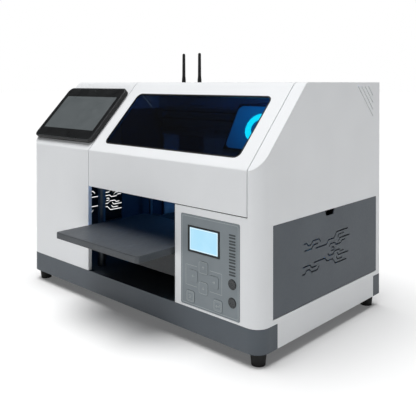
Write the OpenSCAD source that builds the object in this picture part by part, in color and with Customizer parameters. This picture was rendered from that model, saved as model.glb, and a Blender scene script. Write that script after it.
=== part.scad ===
// Desktop flatbed UV printer.
// X runs to the right, Y to the back and Z up. The floor is Z = 0 and the
// origin is the centre of the whole machine's footprint. Modules are drawn in
// casing coordinates, with the front face at Y = 0, and place() moves them.

/* [Casing] */
// Width of the left cover, from its side face to the hood seam
left_w = 268; // [250:1:340]
// Width of the front column right of the bay
column_w = 231; // [222:1:300]
// Width of the strip right of the hood
strip_w = 30; // [30:1:60]
// Depth of the casing, front face to back
body_d = 480; // [400:1:600]
// Height of the flat top above the floor
body_h = 551; // [540:1:680]
// Height of the fold where the sloping front starts
front_h = 381; // [370:1:400]
// Horizontal run of the slope
slope_run = 160; // [150:1:190]
// Radius of the upright front corners
corner_r = 30; // [10:1:30]
// Radius of the fold above the vertical front
fold_r = 6; // [4:1:12]
// Radius between the slope and the flat top
brow_r = 18; // [6:1:24]
// Wall of the covers
skin = 3; // [2:0.5:4]
// Gap between neighbouring covers
seam = 2; // [1:0.5:3]
// Height of the grey band round the base
band_h = 49; // [44:1:60]
// Length of the band that turns back along each side
band_wrap = 58; // [40:1:80]
// Length of the band at the rear corners
band_tail = 31; // [31:1:50]
// Sheet of the rear panel
rear_t = 2; // [1:0.5:3]

/* [Feet] */
// Height of a rubber foot
foot_h = 28; // [20:1:40]
// Radius of a foot at the casing
foot_r = 17; // [14:1:20]
// Distance from the casing's sides to a foot's centre
foot_in = 25; // [24:1:40]
// Distance from the casing's back to a rear foot's centre
foot_back = 20; // [20:1:40]

/* [Bay and bed] */
// Width of the bed plate
bed_w = 300; // [240:1:380]
// Length of the bed plate
bed_l = 280; // [240:1:320]
// Thickness of the bed plate
bed_t = 14; // [8:1:20]
// Height of the bed's top face at rest
bed_top = 194; // [184:1:196]
// How far the bed stands out of the front at rest
bed_out = 100; // [60:1:120]
// Space between the bed and the bay's side on each side
bed_gap = 6.5; // [5:0.5:12]
// Height of the bay's upper edge, the hood's lower edge
bay_top = 290.7; // [288:0.1:300]
// Radius of the bed plate's corners
bed_corner_r = 8; // [3:1:14]

/* [Hood and window] */
// Distance from the slope's top edge back to the hood hinge
hinge_back = 75; // [60:1:100]
// Radius of the hood hinge's barrel
barrel_r = 3; // [2.5:0.5:4]
// Radius of the hood hinge's pin
hinge_pin_r = 1.5; // [1:0.25:2]
// Number of hinge knuckles on one leaf
knuckles = 5; // [3:1:9]
// Width of the window opening
win_w = 437; // [300:1:440]
// Height of the window opening, along the slope
win_h = 163; // [120:1:165]
// Distance from the fold up to the window
win_up = 28; // [22:1:34]
// Distance from the hood's left edge to the window
win_in = 39; // [30:1:60]
// Radius of the window's corners
win_r = 15; // [6:1:25]
// Thickness of the window pane
pane_t = 3; // [2:0.5:4]

/* [Side doors] */
// Distance from the front face to a door
door_front = 43.5; // [36:0.5:60]
// Distance from a door to the casing's back
door_rear = 17; // [14:0.5:30]
// Height of a door's lower edge above the floor
door_low = 88.3; // [84:0.1:100]
// Height of a door
door_h = 183.3; // [150:0.1:190]
// Thickness of a door
door_t = 2.5; // [2:0.5:4]
// Radius of the rolled lower edge that a door turns on
door_roll_r = 2.5; // [2.5:0.5:3]
// Width of the finger notch in a door's upper edge
notch_w = 40; // [30:1:60]
// Depth of the finger notch
notch_d = 12; // [8:1:16]
// Width of a vent slot
slot_w = 2.8; // [2:0.1:3.4]

/* [Controls] */
// Width of the control panel
panel_w = 163; // [158:1:170]
// Height of the control panel
panel_h = 191; // [188:1:196]
// Distance from the bay to the control panel
panel_in = 20; // [16:1:22]
// Distance from the base band up to the control panel
panel_up = 5.6; // [4:0.1:8]
// Width of the numeric display
lcd_w = 89.6; // [60:0.1:90]
// Height of the numeric display
lcd_h = 54.6; // [40:0.1:56]
// Side of an arrow key
key_side = 25; // [18:0.5:25]
// Radius of the two round buttons
button_r = 9; // [8:0.5:12]
// Space round each key
key_gap = 0.4; // [0.3:0.1:0.6]

/* [Tablet] */
// Width of the tablet
tab_w = 264; // [200:1:265]
// Height of the tablet, along the slope
tab_h = 180; // [140:1:190]
// Thickness of the tablet
tab_t = 10; // [8:1:20]
// Distance from the fold up to the tablet
tab_up = 19.5; // [10:0.5:24]
// Radius of the tablet's corners
tab_r = 16; // [8:1:24]

/* [Antennas] */
// Height of the tip above the floor's flat top line
antenna_over = 96; // [60:1:140]
// Radius of an antenna at its foot
antenna_r = 6.5; // [5:0.5:8]
// Distance of an antenna's axis behind the casing
antenna_back = 15; // [14:0.5:20]

/* [Lift] */
// Radius of a guide post
post_r = 10; // [8:0.5:12]
// Distance from the bay's side to a post's axis
post_out = 26; // [26:1:30]
// Running fit of shafts in their bushes
run_fit = 0.05; // [0.03:0.01:0.09]
// Radius of a lead screw
screw_r = 6; // [4:0.5:8]
// Distance from the front face to the front posts
post_front = 60; // [46:1:80]
// Distance from the rear posts to the casing's back
post_rear = 80; // [70:1:100]

/* [Carriage] */
// Width of the print carriage
carriage_w = 160; // [150:1:170]
// Space between the parked carriage and the right side
park_gap = 40; // [38:1:60]
// Height of the nozzles above the floor
nozzle_z = 292; // [291:0.5:296]
// Outer radius of the lit ring on the carriage
ring_r = 34; // [30:1:52]
// Width of the lit ring
ring_band = 14; // [8:1:20]
// Distance from the middle of the casing back to the gantry beam
beam_back = 60; // [50:1:80]
// Radius of the belt pulleys
pulley_r = 10; // [8:0.5:12]

/* [Hidden] */
$fn = 64;

fit = 0.4;        // gap round pieces that drop into an opening
overlap = 1;      // how far a cutting shape runs past what it cuts
sheet = 2;        // thin steel sheet
root = 0.5;       // how far a rib or a block reaches into the wall that it stands on

// Widths that follow from the bed and the two covers beside it
bay_w = bed_w + 2 * bed_gap;
body_w = left_w + bay_w + column_w;
x_left = -body_w / 2;
x_bay0 = x_left + left_w;
x_bay1 = x_bay0 + bay_w;
x_bed = (x_bay0 + x_bay1) / 2;
x_right = body_w / 2;
x_hood1 = x_right - strip_w;
band_top = foot_h + band_h;
foot_y = [29, body_d - foot_back];
front_y = bed_out - (bed_out + body_d + antenna_back + antenna_r) / 2;

// Slope of the front
slope_a = atan2(body_h - front_h, slope_run);
slope_l = norm([slope_run, body_h - front_h]);
hinge_y = slope_run + hinge_back;
hinge_z = body_h - skin;
hinge_space = 2 * barrel_r + 1;

// Ledges under the hood's side seams: how far they reach under the hood and under their cover
ledge_in = 10;
ledge_hold = 12;
ledge_up = 8;

// The hinge runs between the ledges
hinge_x0 = x_bay0 + ledge_in + 2;
hinge_x1 = x_hood1 - ledge_in - 2;
knuckle_pitch = (hinge_x1 - hinge_x0) / (2 * knuckles);
knuckle_gap = 0.2;
leaf_t = 1.2;
leaf_w = 17;

// Side doors: their pins, and the blocks on the covers that hold them
door_y0 = door_front;
door_y1 = body_d - door_rear;
door_top = door_low + door_h;
door_mid = (door_y0 + door_y1) / 2 - 3;
door_pin_r = 1.5;
bearing_l = 8;
roll_c = [x_right - door_roll_r, door_low + door_roll_r];

// Flanges of the covers beside the bay, and the ledge under the hood's lower edge
flange_d = 10;
hood_ledge_h = 9;

// Control panel
panel_x0 = x_bay1 + panel_in;
panel_z0 = band_top + panel_up;
panel_r = 4;

// Floor of the machine
floor_top = band_top - 5;
floor_z = floor_top - 3;

// The pane sits in a frame behind the hood, and is larger than the window all round
pane_grow = 6;
frame_t = 3;

// Lift tray that carries the bed
tray_wall = 4;
tray_floor = 6;
tray_top = bed_top - bed_t - 2;
tray_z = tray_top - 46;
tray_x0 = x_bay0 + 2;
tray_x1 = x_bay1 - 2;
tray_y0 = 2;
tray_y1 = body_d - 18;
post_x = [x_bay0 - post_out, x_bay1 + post_out];
post_y = [post_front, body_d - post_rear];
lift_y = (post_y[0] + post_y[1]) / 2;
tie_z = nozzle_z - 16;
tie_t = 8;
ear_r = 16;

// Bed slide inside the tray
rail_x = 85;
rail_w = 15;
rail_h = 12;
rail_z = tray_z + tray_floor;
block_w = 34;
block_l = 40;
block_y = [75, 135];
bed_motor_side = 39;
bed_motor_l = 32;
bed_screw_z = rail_z + bed_motor_side / 2 + 1;
motor_plate_y = tray_y1 - tray_wall - bed_motor_l - 6;

// Gantry and carriage
beam_d = 60;
beam_front = body_d / 2 + beam_back;
beam_z = [400, 480];
beam_x0 = x_bay0 - 52;
beam_x1 = x_right - 10;
column_t = 8;
x_rail_z = 418;
x_rail_h = 15;
x_rail_d = 12;
belt_z = beam_z[0] + 60;
belt_w = 8;
belt_t = 1.5;
belt_y = beam_front - 26;
motor_side = 42;
drive_x = beam_x0 + 20;
idler_x = beam_x1 - 24;
carriage_x1 = x_right - park_gap;
carriage_x0 = carriage_x1 - carriage_w;
carriage_y1 = beam_front - 38;
carriage_y0 = carriage_y1 - 139;
cover_z = [beam_z[0], beam_z[1] + 20];
cover_a = 60;
cover_wall = 2.5;
head_y = (carriage_y0 + carriage_y1) / 2 + 8;
ring_up = 56.5;
rail_gap = 0.3;
pulley_shaft_r = 2.5;

// Print heads and the curing lamp: width and length of each, and where they sit
head_w = 34;
head_l = 84;
head_in = 34;
head_pitch = 44;
lamp_w = 44;
lamp_l = 80;
lamp_x = carriage_x0 + 130;

// Tidy places for the inner pieces
motor_h = 38;
partition_x = x_bay0 - 56;
board_y = [body_d - 180, body_d - 20];
board_z = [150, 280];
psu = [115, 215, 50];
bottle_r = 21;
bottle_h = 96;
bottle_pitch = 46;
bottle_n = 5;
neck_r = 10;
cap_r = 12;
cap_h = 18;
bottle_x = x_right - 56;
bottle_y0 = 76;
fan_side = 80;
fan_l = 25;
hub_r = 15.5;
hub_shaft_r = 2;
fan_c = [x_left + 106, 240];
inlet_c = [x_left + 60, 112];
inlet_hole = [28, 21];
switch_c = [x_left + 106, 112];
switch_hole = [16, 26];
bezel_t = 2;
rocker_pin_r = 1.5;

function unit(v) = v / norm(v);

// Points of the arc that rounds corner b between a and c
function round_corner(a, b, c, r, n = 8) =
    let (
        u = unit(a - b),
        v = unit(c - b),
        half = acos(u * v) / 2,
        m = b + unit(u + v) * r / sin(half),
        p = b + u * r / tan(half) - m,
        q = b + v * r / tan(half) - m,
        a0 = atan2(p[1], p[0]),
        da = atan2(q[1], q[0]) - a0,
        turn = da > 180 ? da - 360 : da < -180 ? da + 360 : da
    )
    [for (i = [0:n]) m + r * [cos(a0 + turn * i / n), sin(a0 + turn * i / n)]];

// Side outline of the casing, inset by a wall, as [y, z]
function casing_outline(inset, z0, y1) =
    let (
        fold = [inset, front_h + inset * ((1 - sin(slope_a)) * tan(slope_a) - cos(slope_a))],
        brow_z = body_h - inset,
        brow = [fold[0] + (brow_z - fold[1]) / tan(slope_a), brow_z]
    )
    concat(
        [[inset, z0]],
        round_corner([inset, z0], fold, brow, max(0.5, fold_r - inset)),
        round_corner(fold, brow, [y1, brow_z], max(0.5, brow_r - inset)),
        [[y1, brow_z], [y1, z0]]
    );

module place() translate([0, front_y, 0]) children();

// Both sides at once: as drawn and mirrored to the other side
module both_sides() {
    children();
    mirror([1, 0, 0]) children();
}

// Extrudes a [y, z] outline along X from x0 to x1
module along_x(x0, x1) translate([x0, 0, 0]) rotate([90, 0, 90]) linear_extrude(x1 - x0) children();

// Extrudes an [x, z] outline along Y from y0 to y1
module along_y(y0, y1) translate([0, y1, 0]) rotate([90, 0, 0]) linear_extrude(y1 - y0) children();

// Local X across, Y up the slope and Z out of it, from the fold
module on_slope() translate([0, 0, front_h]) rotate([slope_a, 0, 0]) children();

module block(lo, hi) translate(lo) cube(hi - lo);

module rod_x(r, x0, x1, y, z) translate([x0, y, z]) rotate([0, 90, 0]) cylinder(r = r, h = x1 - x0);
module rod_y(r, y0, y1, x, z) translate([x, y1, z]) rotate([90, 0, 0]) cylinder(r = r, h = y1 - y0);
module rod_z(r, z0, z1, x, y) translate([x, y, z0]) cylinder(r = r, h = z1 - z0);

// Rectangle with true round corners, centred
module rounded_rect(w, h, r) {
    square([w - 2 * r, h], center = true);
    square([w, h - 2 * r], center = true);
    for (x = [-1, 1], y = [-1, 1]) translate([x * (w / 2 - r), y * (h / 2 - r)]) circle(r);
}

// Straight slot with round ends between two points
module slot(p, q, w) {
    translate(p) circle(w / 2);
    translate(q) circle(w / 2);
    translate(p) rotate(atan2(q[1] - p[1], q[0] - p[0]))
        translate([0, -w / 2]) square([norm(q - p), w]);
}

// ---------------------------------------------------------------- casing

// Plan of the casing, inset by a wall, with round front corners
module casing_plan(inset, y1) {
    round_y = corner_r;
    half = body_w / 2;
    translate([inset - half, round_y]) square([body_w - 2 * inset, y1 - round_y]);
    translate([round_y - half, inset]) square([body_w - 2 * round_y, round_y + overlap]);
    for (x = [-1, 1]) translate([x * (half - round_y), round_y]) circle(round_y - inset);
}

module casing_solid(inset = 0, z0 = foot_h, past = 0) {
    intersection() {
        along_x(-body_w, body_w) polygon(casing_outline(inset, z0, body_d + past));
        translate([0, 0, z0]) linear_extrude(body_h) casing_plan(inset, body_d + past);
    }
}

// Where the base band shows: full width at the front and the rear corners
module band_zone(top, gap) {
    difference() {
        block([-body_w, -overlap, 0], [body_w, body_d + 2 * overlap, top]);
        both_sides() block([x_right - skin - gap, band_wrap - gap, -overlap],
                           [body_w + overlap, body_d - band_tail + gap, top + overlap]);
    }
}

module cover_skin() {
    difference() {
        casing_solid();
        casing_solid(skin, -overlap, overlap);
        band_zone(band_top + fit, 0);
    }
}

// Part of the skin between two X planes
module skin_between(x0, x1) {
    intersection() {
        cover_skin();
        block([x0, -overlap, 0], [x1, body_d + overlap, body_h + overlap]);
    }
}

// Part of a layer of the casing, between two insets, from x0 to x1
module layer_between(outer, inner, x0, x1, z0) {
    intersection() {
        difference() {
            casing_solid(outer);
            casing_solid(inner, -overlap, overlap);
        }
        block([x0, -overlap, z0], [x1, hinge_y - hinge_space, body_h]);
    }
}

// Ledge that closes the seam under a hood edge, joined to its cover from join0 to join1
module seam_ledge(x0, x1, join0, join1) {
    layer_between(skin + fit, skin + sheet, x0, x1, bay_top + ledge_up);
    layer_between(skin - root, skin + sheet, join0, join1, bay_top + ledge_up);
}

module base_tray() color("#565d64") place() {
    inner_x = x_right - skin - fit;
    difference() {
        intersection() {
            translate([0, 0, foot_h]) linear_extrude(band_h) casing_plan(0, body_d);
            union() {
                band_zone(band_top, 0);
                block([-inner_x, band_wrap - overlap, foot_h],
                      [inner_x, body_d - band_tail + overlap, floor_top]);
            }
        }
        translate([0, 0, floor_top]) linear_extrude(band_h) casing_plan(skin, body_d - rear_t);
        // hollow under the floor, leaving the walls and a boss over each foot
        difference() {
            intersection() {
                translate([0, 0, foot_h - overlap]) linear_extrude(floor_z - foot_h + overlap)
                    casing_plan(skin, body_d - skin);
                block([-inner_x + skin, 0, 0], [inner_x - skin, body_d, body_h]);
            }
            for (x = [-1, 1], y = foot_y)
                rod_z(foot_r + 2, foot_h - overlap, floor_z + overlap, x * (x_right - foot_in), y);
        }
        for (x = post_x) rod_z(screw_r - 2 + run_fit, floor_z - overlap, floor_top + overlap, x, lift_y);
    }
}

module rubber_feet() color("#141414") place() {
    for (x = [-1, 1], y = foot_y)
        translate([x * (x_right - foot_in), y, 0]) cylinder(r1 = foot_r - 3, r2 = foot_r, h = foot_h);
}

// Opening for a door in the side wall, as [y, z]
module door_outline(gap) {
    translate([door_y0 - gap, door_low - gap])
        square([door_y1 - door_y0 + 2 * gap, door_h + 2 * gap]);
}

module side_wall_cuts() {
    along_x(x_right - 3 * skin, x_right + overlap) door_outline(fit);
    // four slanted vents near the upper rear corner, each shorter than the last
    vent_end = body_d - 34;
    vent_top = body_h - 10;
    vent_l = 71;
    vent_pitch = 16.5;
    for (i = [0:3]) {
        y0 = vent_end - vent_l + vent_pitch * i;
        along_x(x_right - 2 * skin, x_right + overlap)
            slot([y0, vent_top], [vent_end, vent_top - (vent_end - y0)], slot_w);
    }
}

// Bores for a door's pins, through the wall and the bearing blocks
module door_pin_bores() {
    for (y = [door_y0 - fit - bearing_l, door_y1 + fit])
        rod_y(door_pin_r + run_fit, y - overlap, y + bearing_l + overlap, roll_c[0], roll_c[1]);
}

// Blocks at the lower corners of a door opening
module door_bearings() {
    difference() {
        for (y = [door_y0 - fit - bearing_l, door_y1 + fit])
            block([x_right - 3 * skin, y, roll_c[1] - 5],
                  [x_right - skin + root, y + bearing_l, roll_c[1] + 6]);
        door_pin_bores();
    }
}

// Flange of a cover beside the bay, from x0 to x1
module bay_flange(x0, x1) block([x0, skin - root, band_top + fit], [x1, flange_d, bay_top - seam]);

module left_cover() color("#f2f4f6") place() {
    difference() {
        skin_between(x_left - overlap, x_bay0 - seam / 2);
        mirror([1, 0, 0]) side_wall_cuts();
        mirror([1, 0, 0]) door_pin_bores();
    }
    mirror([1, 0, 0]) door_bearings();
    bay_flange(x_bay0 - seam / 2 - skin, x_bay0 - seam / 2);
    seam_ledge(x_bay0 - ledge_hold, x_bay0 + ledge_in, x_bay0 - ledge_hold, x_bay0 - seam / 2);
}

module right_cover() color("#f2f4f6") place() {
    x0 = x_bay1 + seam / 2;
    difference() {
        union() {
            skin_between(x_hood1 + seam / 2, x_right + overlap);
            intersection() {
                skin_between(x0, x_hood1 + 2 * seam);
                block([x_bay1, -overlap, 0], [x_right, 2 * skin, bay_top - seam]);
            }
        }
        side_wall_cuts();
        door_pin_bores();
        on_panel([panel_w / 2, panel_h / 2]) along_y(-overlap, 2 * skin)
            rounded_rect(panel_w + 2 * fit, panel_h + 2 * fit, panel_r);
    }
    door_bearings();
    bay_flange(x0, x0 + skin);
    seam_ledge(x_hood1 - ledge_in, x_hood1 + ledge_hold, x_hood1 + seam / 2, x_hood1 + ledge_hold);
    // ledge that the hood's lower edge closes over
    z0 = bay_top - seam - hood_ledge_h;
    block([x0, skin - root, z0], [x_hood1 + seam, skin + sheet, bay_top - seam]);
    block([x0, skin + fit, z0], [x_hood1 + seam, skin + sheet, bay_top + 12]);
}

module top_cover() color("#f2f4f6") place() {
    y0 = hinge_y + hinge_space / 2;
    block([x_bay0 + seam / 2, y0, body_h - skin], [x_hood1 - seam / 2, body_d, body_h]);
    // down-turned edges that stiffen the sheet
    for (x = [x_bay0 + 14, x_hood1 - 14 - skin])
        block([x, y0 + 14, body_h - 16], [x + skin, body_d - rear_t - 1, body_h - skin]);
}

module rear_panel() color("#b9bcbf") place() {
    half = x_right - skin - fit;
    difference() {
        block([-half, body_d - rear_t, band_top + fit], [half, body_d, body_h - skin - fit]);
        // fan, inlet and switch
        rod_y(fan_side / 2 - 3, body_d - 2 * rear_t, body_d + overlap, fan_c[0], fan_c[1]);
        along_y(body_d - 2 * rear_t, body_d + overlap) {
            translate(inlet_c) square(inlet_hole, center = true);
            translate(switch_c) square(switch_hole, center = true);
            // exhaust louvres behind the gantry
            for (x = [0:6], z = [0:7])
                translate([x_bed + (x - 3) * 34, body_h - 180 + z * 12])
                    slot([-12, 0], [12, 0], 4);
            // network and USB ports
            for (i = [0:2]) translate(switch_c + [34 + i * 24, 0]) square([16, 12], center = true);
        }
        for (x = antenna_x) rod_y(socket_r + 0.1, body_d - 2 * rear_t, body_d + overlap, x, antenna_z);
    }
}

module partition() color("#23303f") place() {
    top = body_h - 75;
    low_y = slope_run - 9;
    along_x(partition_x - sheet, partition_x)
        polygon([[low_y, floor_top], [low_y, top - 12], [low_y + 14, top],
                 [body_d - rear_t - fit, top], [body_d - rear_t - fit, floor_top]]);
}

// ---------------------------------------------------------------- hood

module window_outline(grow) {
    translate([x_bay0 + seam / 2 + win_in + win_w / 2, win_up + win_h / 2])
        rounded_rect(win_w + 2 * grow, win_h + 2 * grow, win_r + grow);
}

module hood_shell() color("#f4f6f8") place() {
    x0 = x_bay0 + seam / 2;
    x1 = x_hood1 - seam / 2;
    difference() {
        intersection() {
            cover_skin();
            block([x0, -overlap, bay_top], [x1, hinge_y - hinge_space / 2, body_h + overlap]);
        }
        on_slope() translate([0, 0, -2 * skin]) linear_extrude(3 * skin) window_outline(0);
    }
    // frame that holds the pane from inside
    on_slope() translate([0, 0, -skin - pane_t - frame_t]) difference() {
        linear_extrude(frame_t + pane_t + root) window_outline(pane_grow + 4);
        translate([0, 0, frame_t]) linear_extrude(pane_t + overlap) window_outline(pane_grow + fit / 2);
        translate([0, 0, -overlap]) linear_extrude(frame_t + 2 * overlap) window_outline(1);
    }
}

module hood_window() color("#10202c", 0.6) place() {
    on_slope() translate([0, 0, -skin - pane_t]) linear_extrude(pane_t) window_outline(pane_grow);
}

module hinge_bore() rod_x(hinge_pin_r + run_fit, hinge_x0 - overlap, hinge_x1 + overlap, hinge_y, hinge_z);

// One leaf of the hinge: every other stretch of the barrel, each joined to a flat under the skin
module hinge_leaf(first, side) {
    neck_d = barrel_r + 2;
    neck_y = min(hinge_y, hinge_y + side * neck_d);
    leaf_d = leaf_w - barrel_r - 1;
    leaf_y = hinge_y + side * (leaf_w - leaf_d / 2) - leaf_d / 2;
    difference() {
        union() {
            for (i = [first:2:2 * knuckles - 1]) {
                x0 = hinge_x0 + i * knuckle_pitch + knuckle_gap;
                x1 = hinge_x0 + (i + 1) * knuckle_pitch - knuckle_gap;
                rod_x(barrel_r, x0, x1, hinge_y, hinge_z);
                block([x0, neck_y, hinge_z - leaf_t], [x1, neck_y + neck_d, hinge_z]);
            }
            block([hinge_x0, leaf_y, hinge_z - leaf_t], [hinge_x1, leaf_y + leaf_d, hinge_z]);
        }
        hinge_bore();
    }
}

module hinge_body_leaf() color("#9a9da0") place() hinge_leaf(0, 1);
module hinge_hood_leaf() color("#9a9da0") place() hinge_leaf(1, -1);
module hinge_pin() color("#c8cacc") place() rod_x(hinge_pin_r, hinge_x0, hinge_x1, hinge_y, hinge_z);

// ---------------------------------------------------------------- side doors

// Angular vent slots, as [y, z] from the middle of the field: the upper half
vent_lines = [
    [[-88, 30], [-79, 30], [-73, 24], [-62, 24], [-55, 31], [-32, 31], [-25, 24]],
    [[-86, 15], [-60, 15], [-53, 22], [-36, 22]],
    [[-44, 13], [-2, 13], [6, 21], [29, 21], [41, 33], [88, 33]],
    [[45, 20], [51, 26], [70, 26]],
    [[48, 11], [54, 17], [96, 17]],
    [[10, 6], [15, 11], [32, 11], [38, 5], [58, 5], [63, 10], [76, 10]]
];
// and a hook on the middle line
vent_hook = [[20, 2], [27, 2], [30.5, -1.5], [27, -5], [19, -5]];

module vent_line(line) for (i = [0:len(line) - 2]) slot(line[i], line[i + 1], slot_w);

module vent_field() {
    for (up = [0, 1]) mirror([0, up]) translate([-6 * up, up ? 3 : 0])
        for (line = vent_lines) vent_line(line);
    vent_line(vent_hook);
}

module side_door() {
    difference() {
        union() {
            block([x_right - door_t, door_y0, roll_c[1]], [x_right, door_y1, door_top]);
            rod_y(door_roll_r, door_y0, door_y1, roll_c[0], roll_c[1]);
            // stiffening edges inside
            for (y = [door_y0 + skin, door_y1 - skin - sheet])
                block([x_right - door_t - 7, y, roll_c[1] + 8], [x_right - door_t, y + sheet, door_top - 18]);
        }
        along_x(x_right - 2 * door_t, x_right + overlap) {
            translate([door_mid, door_top])
                polygon([[-notch_w / 2, overlap], [-notch_w / 2 + 5, -notch_d],
                         [notch_w / 2 - 5, -notch_d], [notch_w / 2, overlap]]);
            translate([door_mid - 12, (door_low + door_top) / 2 + 5]) vent_field();
        }
    }
    // stub pins
    rod_y(door_pin_r, door_y0 - fit - bearing_l + 2, door_y1 + fit + bearing_l - 2, roll_c[0], roll_c[1]);
}

module right_door() color("#585c60") place() side_door();
module left_door() color("#585c60") place() mirror([1, 0, 0]) side_door();

// Moulded cups behind the finger notches, fixed to the covers
module finger_cups() color("#0d0e0f") place() both_sides() {
    half = notch_w / 2 + skin;
    lip = 14;
    z1 = door_top + fit + lip;
    cup = [18, 27];
    difference() {
        block([x_right - skin - cup[0] - sheet, door_mid - half - skin, z1 - lip - cup[1] - skin],
              [x_right - skin, door_mid + half + skin, z1]);
        block([x_right - skin - cup[0], door_mid - half, z1 - lip - cup[1]],
              [x_right, door_mid + half, z1 - lip]);
    }
}

// ---------------------------------------------------------------- controls

// Places on the control panel, from its lower left corner
lcd_at = [65.8, 141];
lcd_rim = [4.8, 3.2];
keys_at = [[65.8, 86.6], [65.8, 44.5], [37, 63.9], [95, 63.4], [28.1, 19.2], [105.7, 18.3]];
buttons_at = [[143.9, 70.5], [143.9, 34.1]];
panel_face = -0.4;
key_r = 5;
key_stem = 6;

module on_panel(at) translate([panel_x0 + at[0], 0, panel_z0 + at[1]]) children();

module key_outline(grow) rounded_rect(key_side + 2 * grow, key_side + 2 * grow, key_r + grow);

module control_panel() color("#757d80") place() difference() {
    union() {
        on_panel([panel_w / 2, panel_h / 2]) along_y(panel_face, skin)
            rounded_rect(panel_w, panel_h, panel_r - fit);
        on_panel([panel_w / 2, panel_h / 2]) along_y(skin, skin + 1.5)
            rounded_rect(panel_w + 7, panel_h + 7, panel_r);
    }
    on_panel(lcd_at) along_y(-overlap, 9) square([lcd_w + 2 * fit, lcd_h + 2 * fit], center = true);
    for (k = keys_at) on_panel(k) along_y(-overlap, 9) key_outline(key_gap);
    for (b = buttons_at) on_panel(b) along_y(-overlap, 9) circle(button_r + key_gap);
}

module lcd_display() color("#bbe8fd") place() on_panel(lcd_at) difference() {
    along_y(panel_face - 0.6, 8) square([lcd_w, lcd_h], center = true);
    along_y(panel_face - overlap, panel_face + 0.6) square([lcd_w, lcd_h] - 2 * lcd_rim, center = true);
}

module panel_key(i) place() on_panel(keys_at[i]) along_y(panel_face - 0.8, key_stem) key_outline(0);
module key_up() color("#757d80") panel_key(0);
module key_down() color("#757d80") panel_key(1);
module key_left() color("#757d80") panel_key(2);
module key_right() color("#757d80") panel_key(3);
module key_menu() color("#757d80") panel_key(4);
module key_enter() color("#757d80") panel_key(5);

// Round button with a shallow dish in its face
module panel_button(i) place() on_panel(buttons_at[i]) {
    dish_r = 60;
    dish_deep = 1.5;
    front = panel_face - 2;
    difference() {
        along_y(front, key_stem + 2) circle(button_r);
        translate([0, front - dish_r + dish_deep, 0]) sphere(r = dish_r, $fn = 96);
    }
}
module button_start() color("#24292c") panel_button(0);
module button_stop() color("#24292c") panel_button(1);

// ---------------------------------------------------------------- tablet

tab_c = [x_left + left_w / 2, tab_up + tab_h / 2];
tab_gap = 2;
tab_face = tab_gap + tab_t;
tab_rim = 3;
screen_deep = 1.6;

module tablet_housing() color("#1b1d1f") place() on_slope() translate(tab_c) {
    difference() {
        translate([0, 0, tab_gap]) linear_extrude(tab_t) rounded_rect(tab_w, tab_h, tab_r);
        translate([0, 0, tab_face - screen_deep]) linear_extrude(tab_t)
            rounded_rect(tab_w - 2 * tab_rim + fit, tab_h - 2 * tab_rim + fit, tab_r - tab_rim);
    }
    // bracket between the tablet and the slope
    linear_extrude(tab_gap) rounded_rect(tab_w / 2, tab_h / 2, tab_r / 2);
}

module tablet_screen() color("#3a3c3d") place() on_slope() translate(tab_c)
    translate([0, 0, tab_face - screen_deep]) linear_extrude(screen_deep)
        rounded_rect(tab_w - 2 * tab_rim, tab_h - 2 * tab_rim, tab_r - tab_rim - fit / 2);

// ---------------------------------------------------------------- antennas

antenna_x = [x_left + 107, x_left + 179];
antenna_z = body_h - 20;
knuckle_y = body_d + antenna_back;
tongue_w = 5;
knuckle_r = 6;
socket_r = 3.1;
antenna_pin_r = 1.5;

module antenna_connectors() color("#c9a14a") place() for (x = antenna_x) {
    rod_y(socket_r, body_d - rear_t - 6, body_d + 3, x, antenna_z);
    translate([x, body_d + 2, antenna_z]) rotate([90, 0, 0]) cylinder(r = 4.6, h = 2, $fn = 6);
}

module antenna_swivel(x) color("#17181a") place() difference() {
    union() {
        rod_y(knuckle_r - 0.5, body_d + 3.2, body_d + 7.5, x, antenna_z);
        block([x - knuckle_r, body_d + 7.5, antenna_z - knuckle_r],
              [x + knuckle_r, knuckle_y, antenna_z + knuckle_r]);
        rod_x(knuckle_r, x - knuckle_r, x + knuckle_r, knuckle_y, antenna_z);
    }
    block([x - tongue_w / 2 - 0.3, body_d + 8.4, antenna_z - 20],
          [x + tongue_w / 2 + 0.3, knuckle_y + 20, antenna_z + 20]);
    rod_x(antenna_pin_r + run_fit, x - 10, x + 10, knuckle_y, antenna_z);
}

module antenna_rod(x) color("#17181a") place() {
    top = body_h + antenna_over;
    foot = antenna_z + knuckle_r + 1;
    rod_x(antenna_pin_r, x - knuckle_r, x + knuckle_r, knuckle_y, antenna_z);
    rod_x(knuckle_r - 0.4, x - tongue_w / 2, x + tongue_w / 2, knuckle_y, antenna_z);
    block([x - tongue_w / 2, knuckle_y - 4, antenna_z], [x + tongue_w / 2, knuckle_y + 4, foot + 1]);
    translate([x, knuckle_y, foot]) rotate_extrude() polygon(concat(
        [[0, 0], [antenna_r - 1, 0], [antenna_r, 1], [antenna_r, 22], [antenna_r - 1.2, 34]],
        [for (i = [0:6]) [(antenna_r - 1.8) * cos(15 * i), top - foot - 5 + 5 * sin(15 * i)]]
    ));
}

module antenna_left_swivel() antenna_swivel(antenna_x[0]);
module antenna_left_rod() antenna_rod(antenna_x[0]);
module antenna_right_swivel() antenna_swivel(antenna_x[1]);
module antenna_right_rod() antenna_rod(antenna_x[1]);

// ---------------------------------------------------------------- bed and lift

module bed_plate() color("#44484c") place() {
    // the upper edge is stepped in, where the real plate is chamfered
    step = 1;
    translate([x_bed, bed_l / 2 - bed_out, bed_top - bed_t]) {
        linear_extrude(bed_t - step) rounded_rect(bed_w, bed_l, bed_corner_r);
        translate([0, 0, bed_t - step]) linear_extrude(step)
            rounded_rect(bed_w - 2 * step, bed_l - 2 * step, bed_corner_r - step);
    }
}

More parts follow.
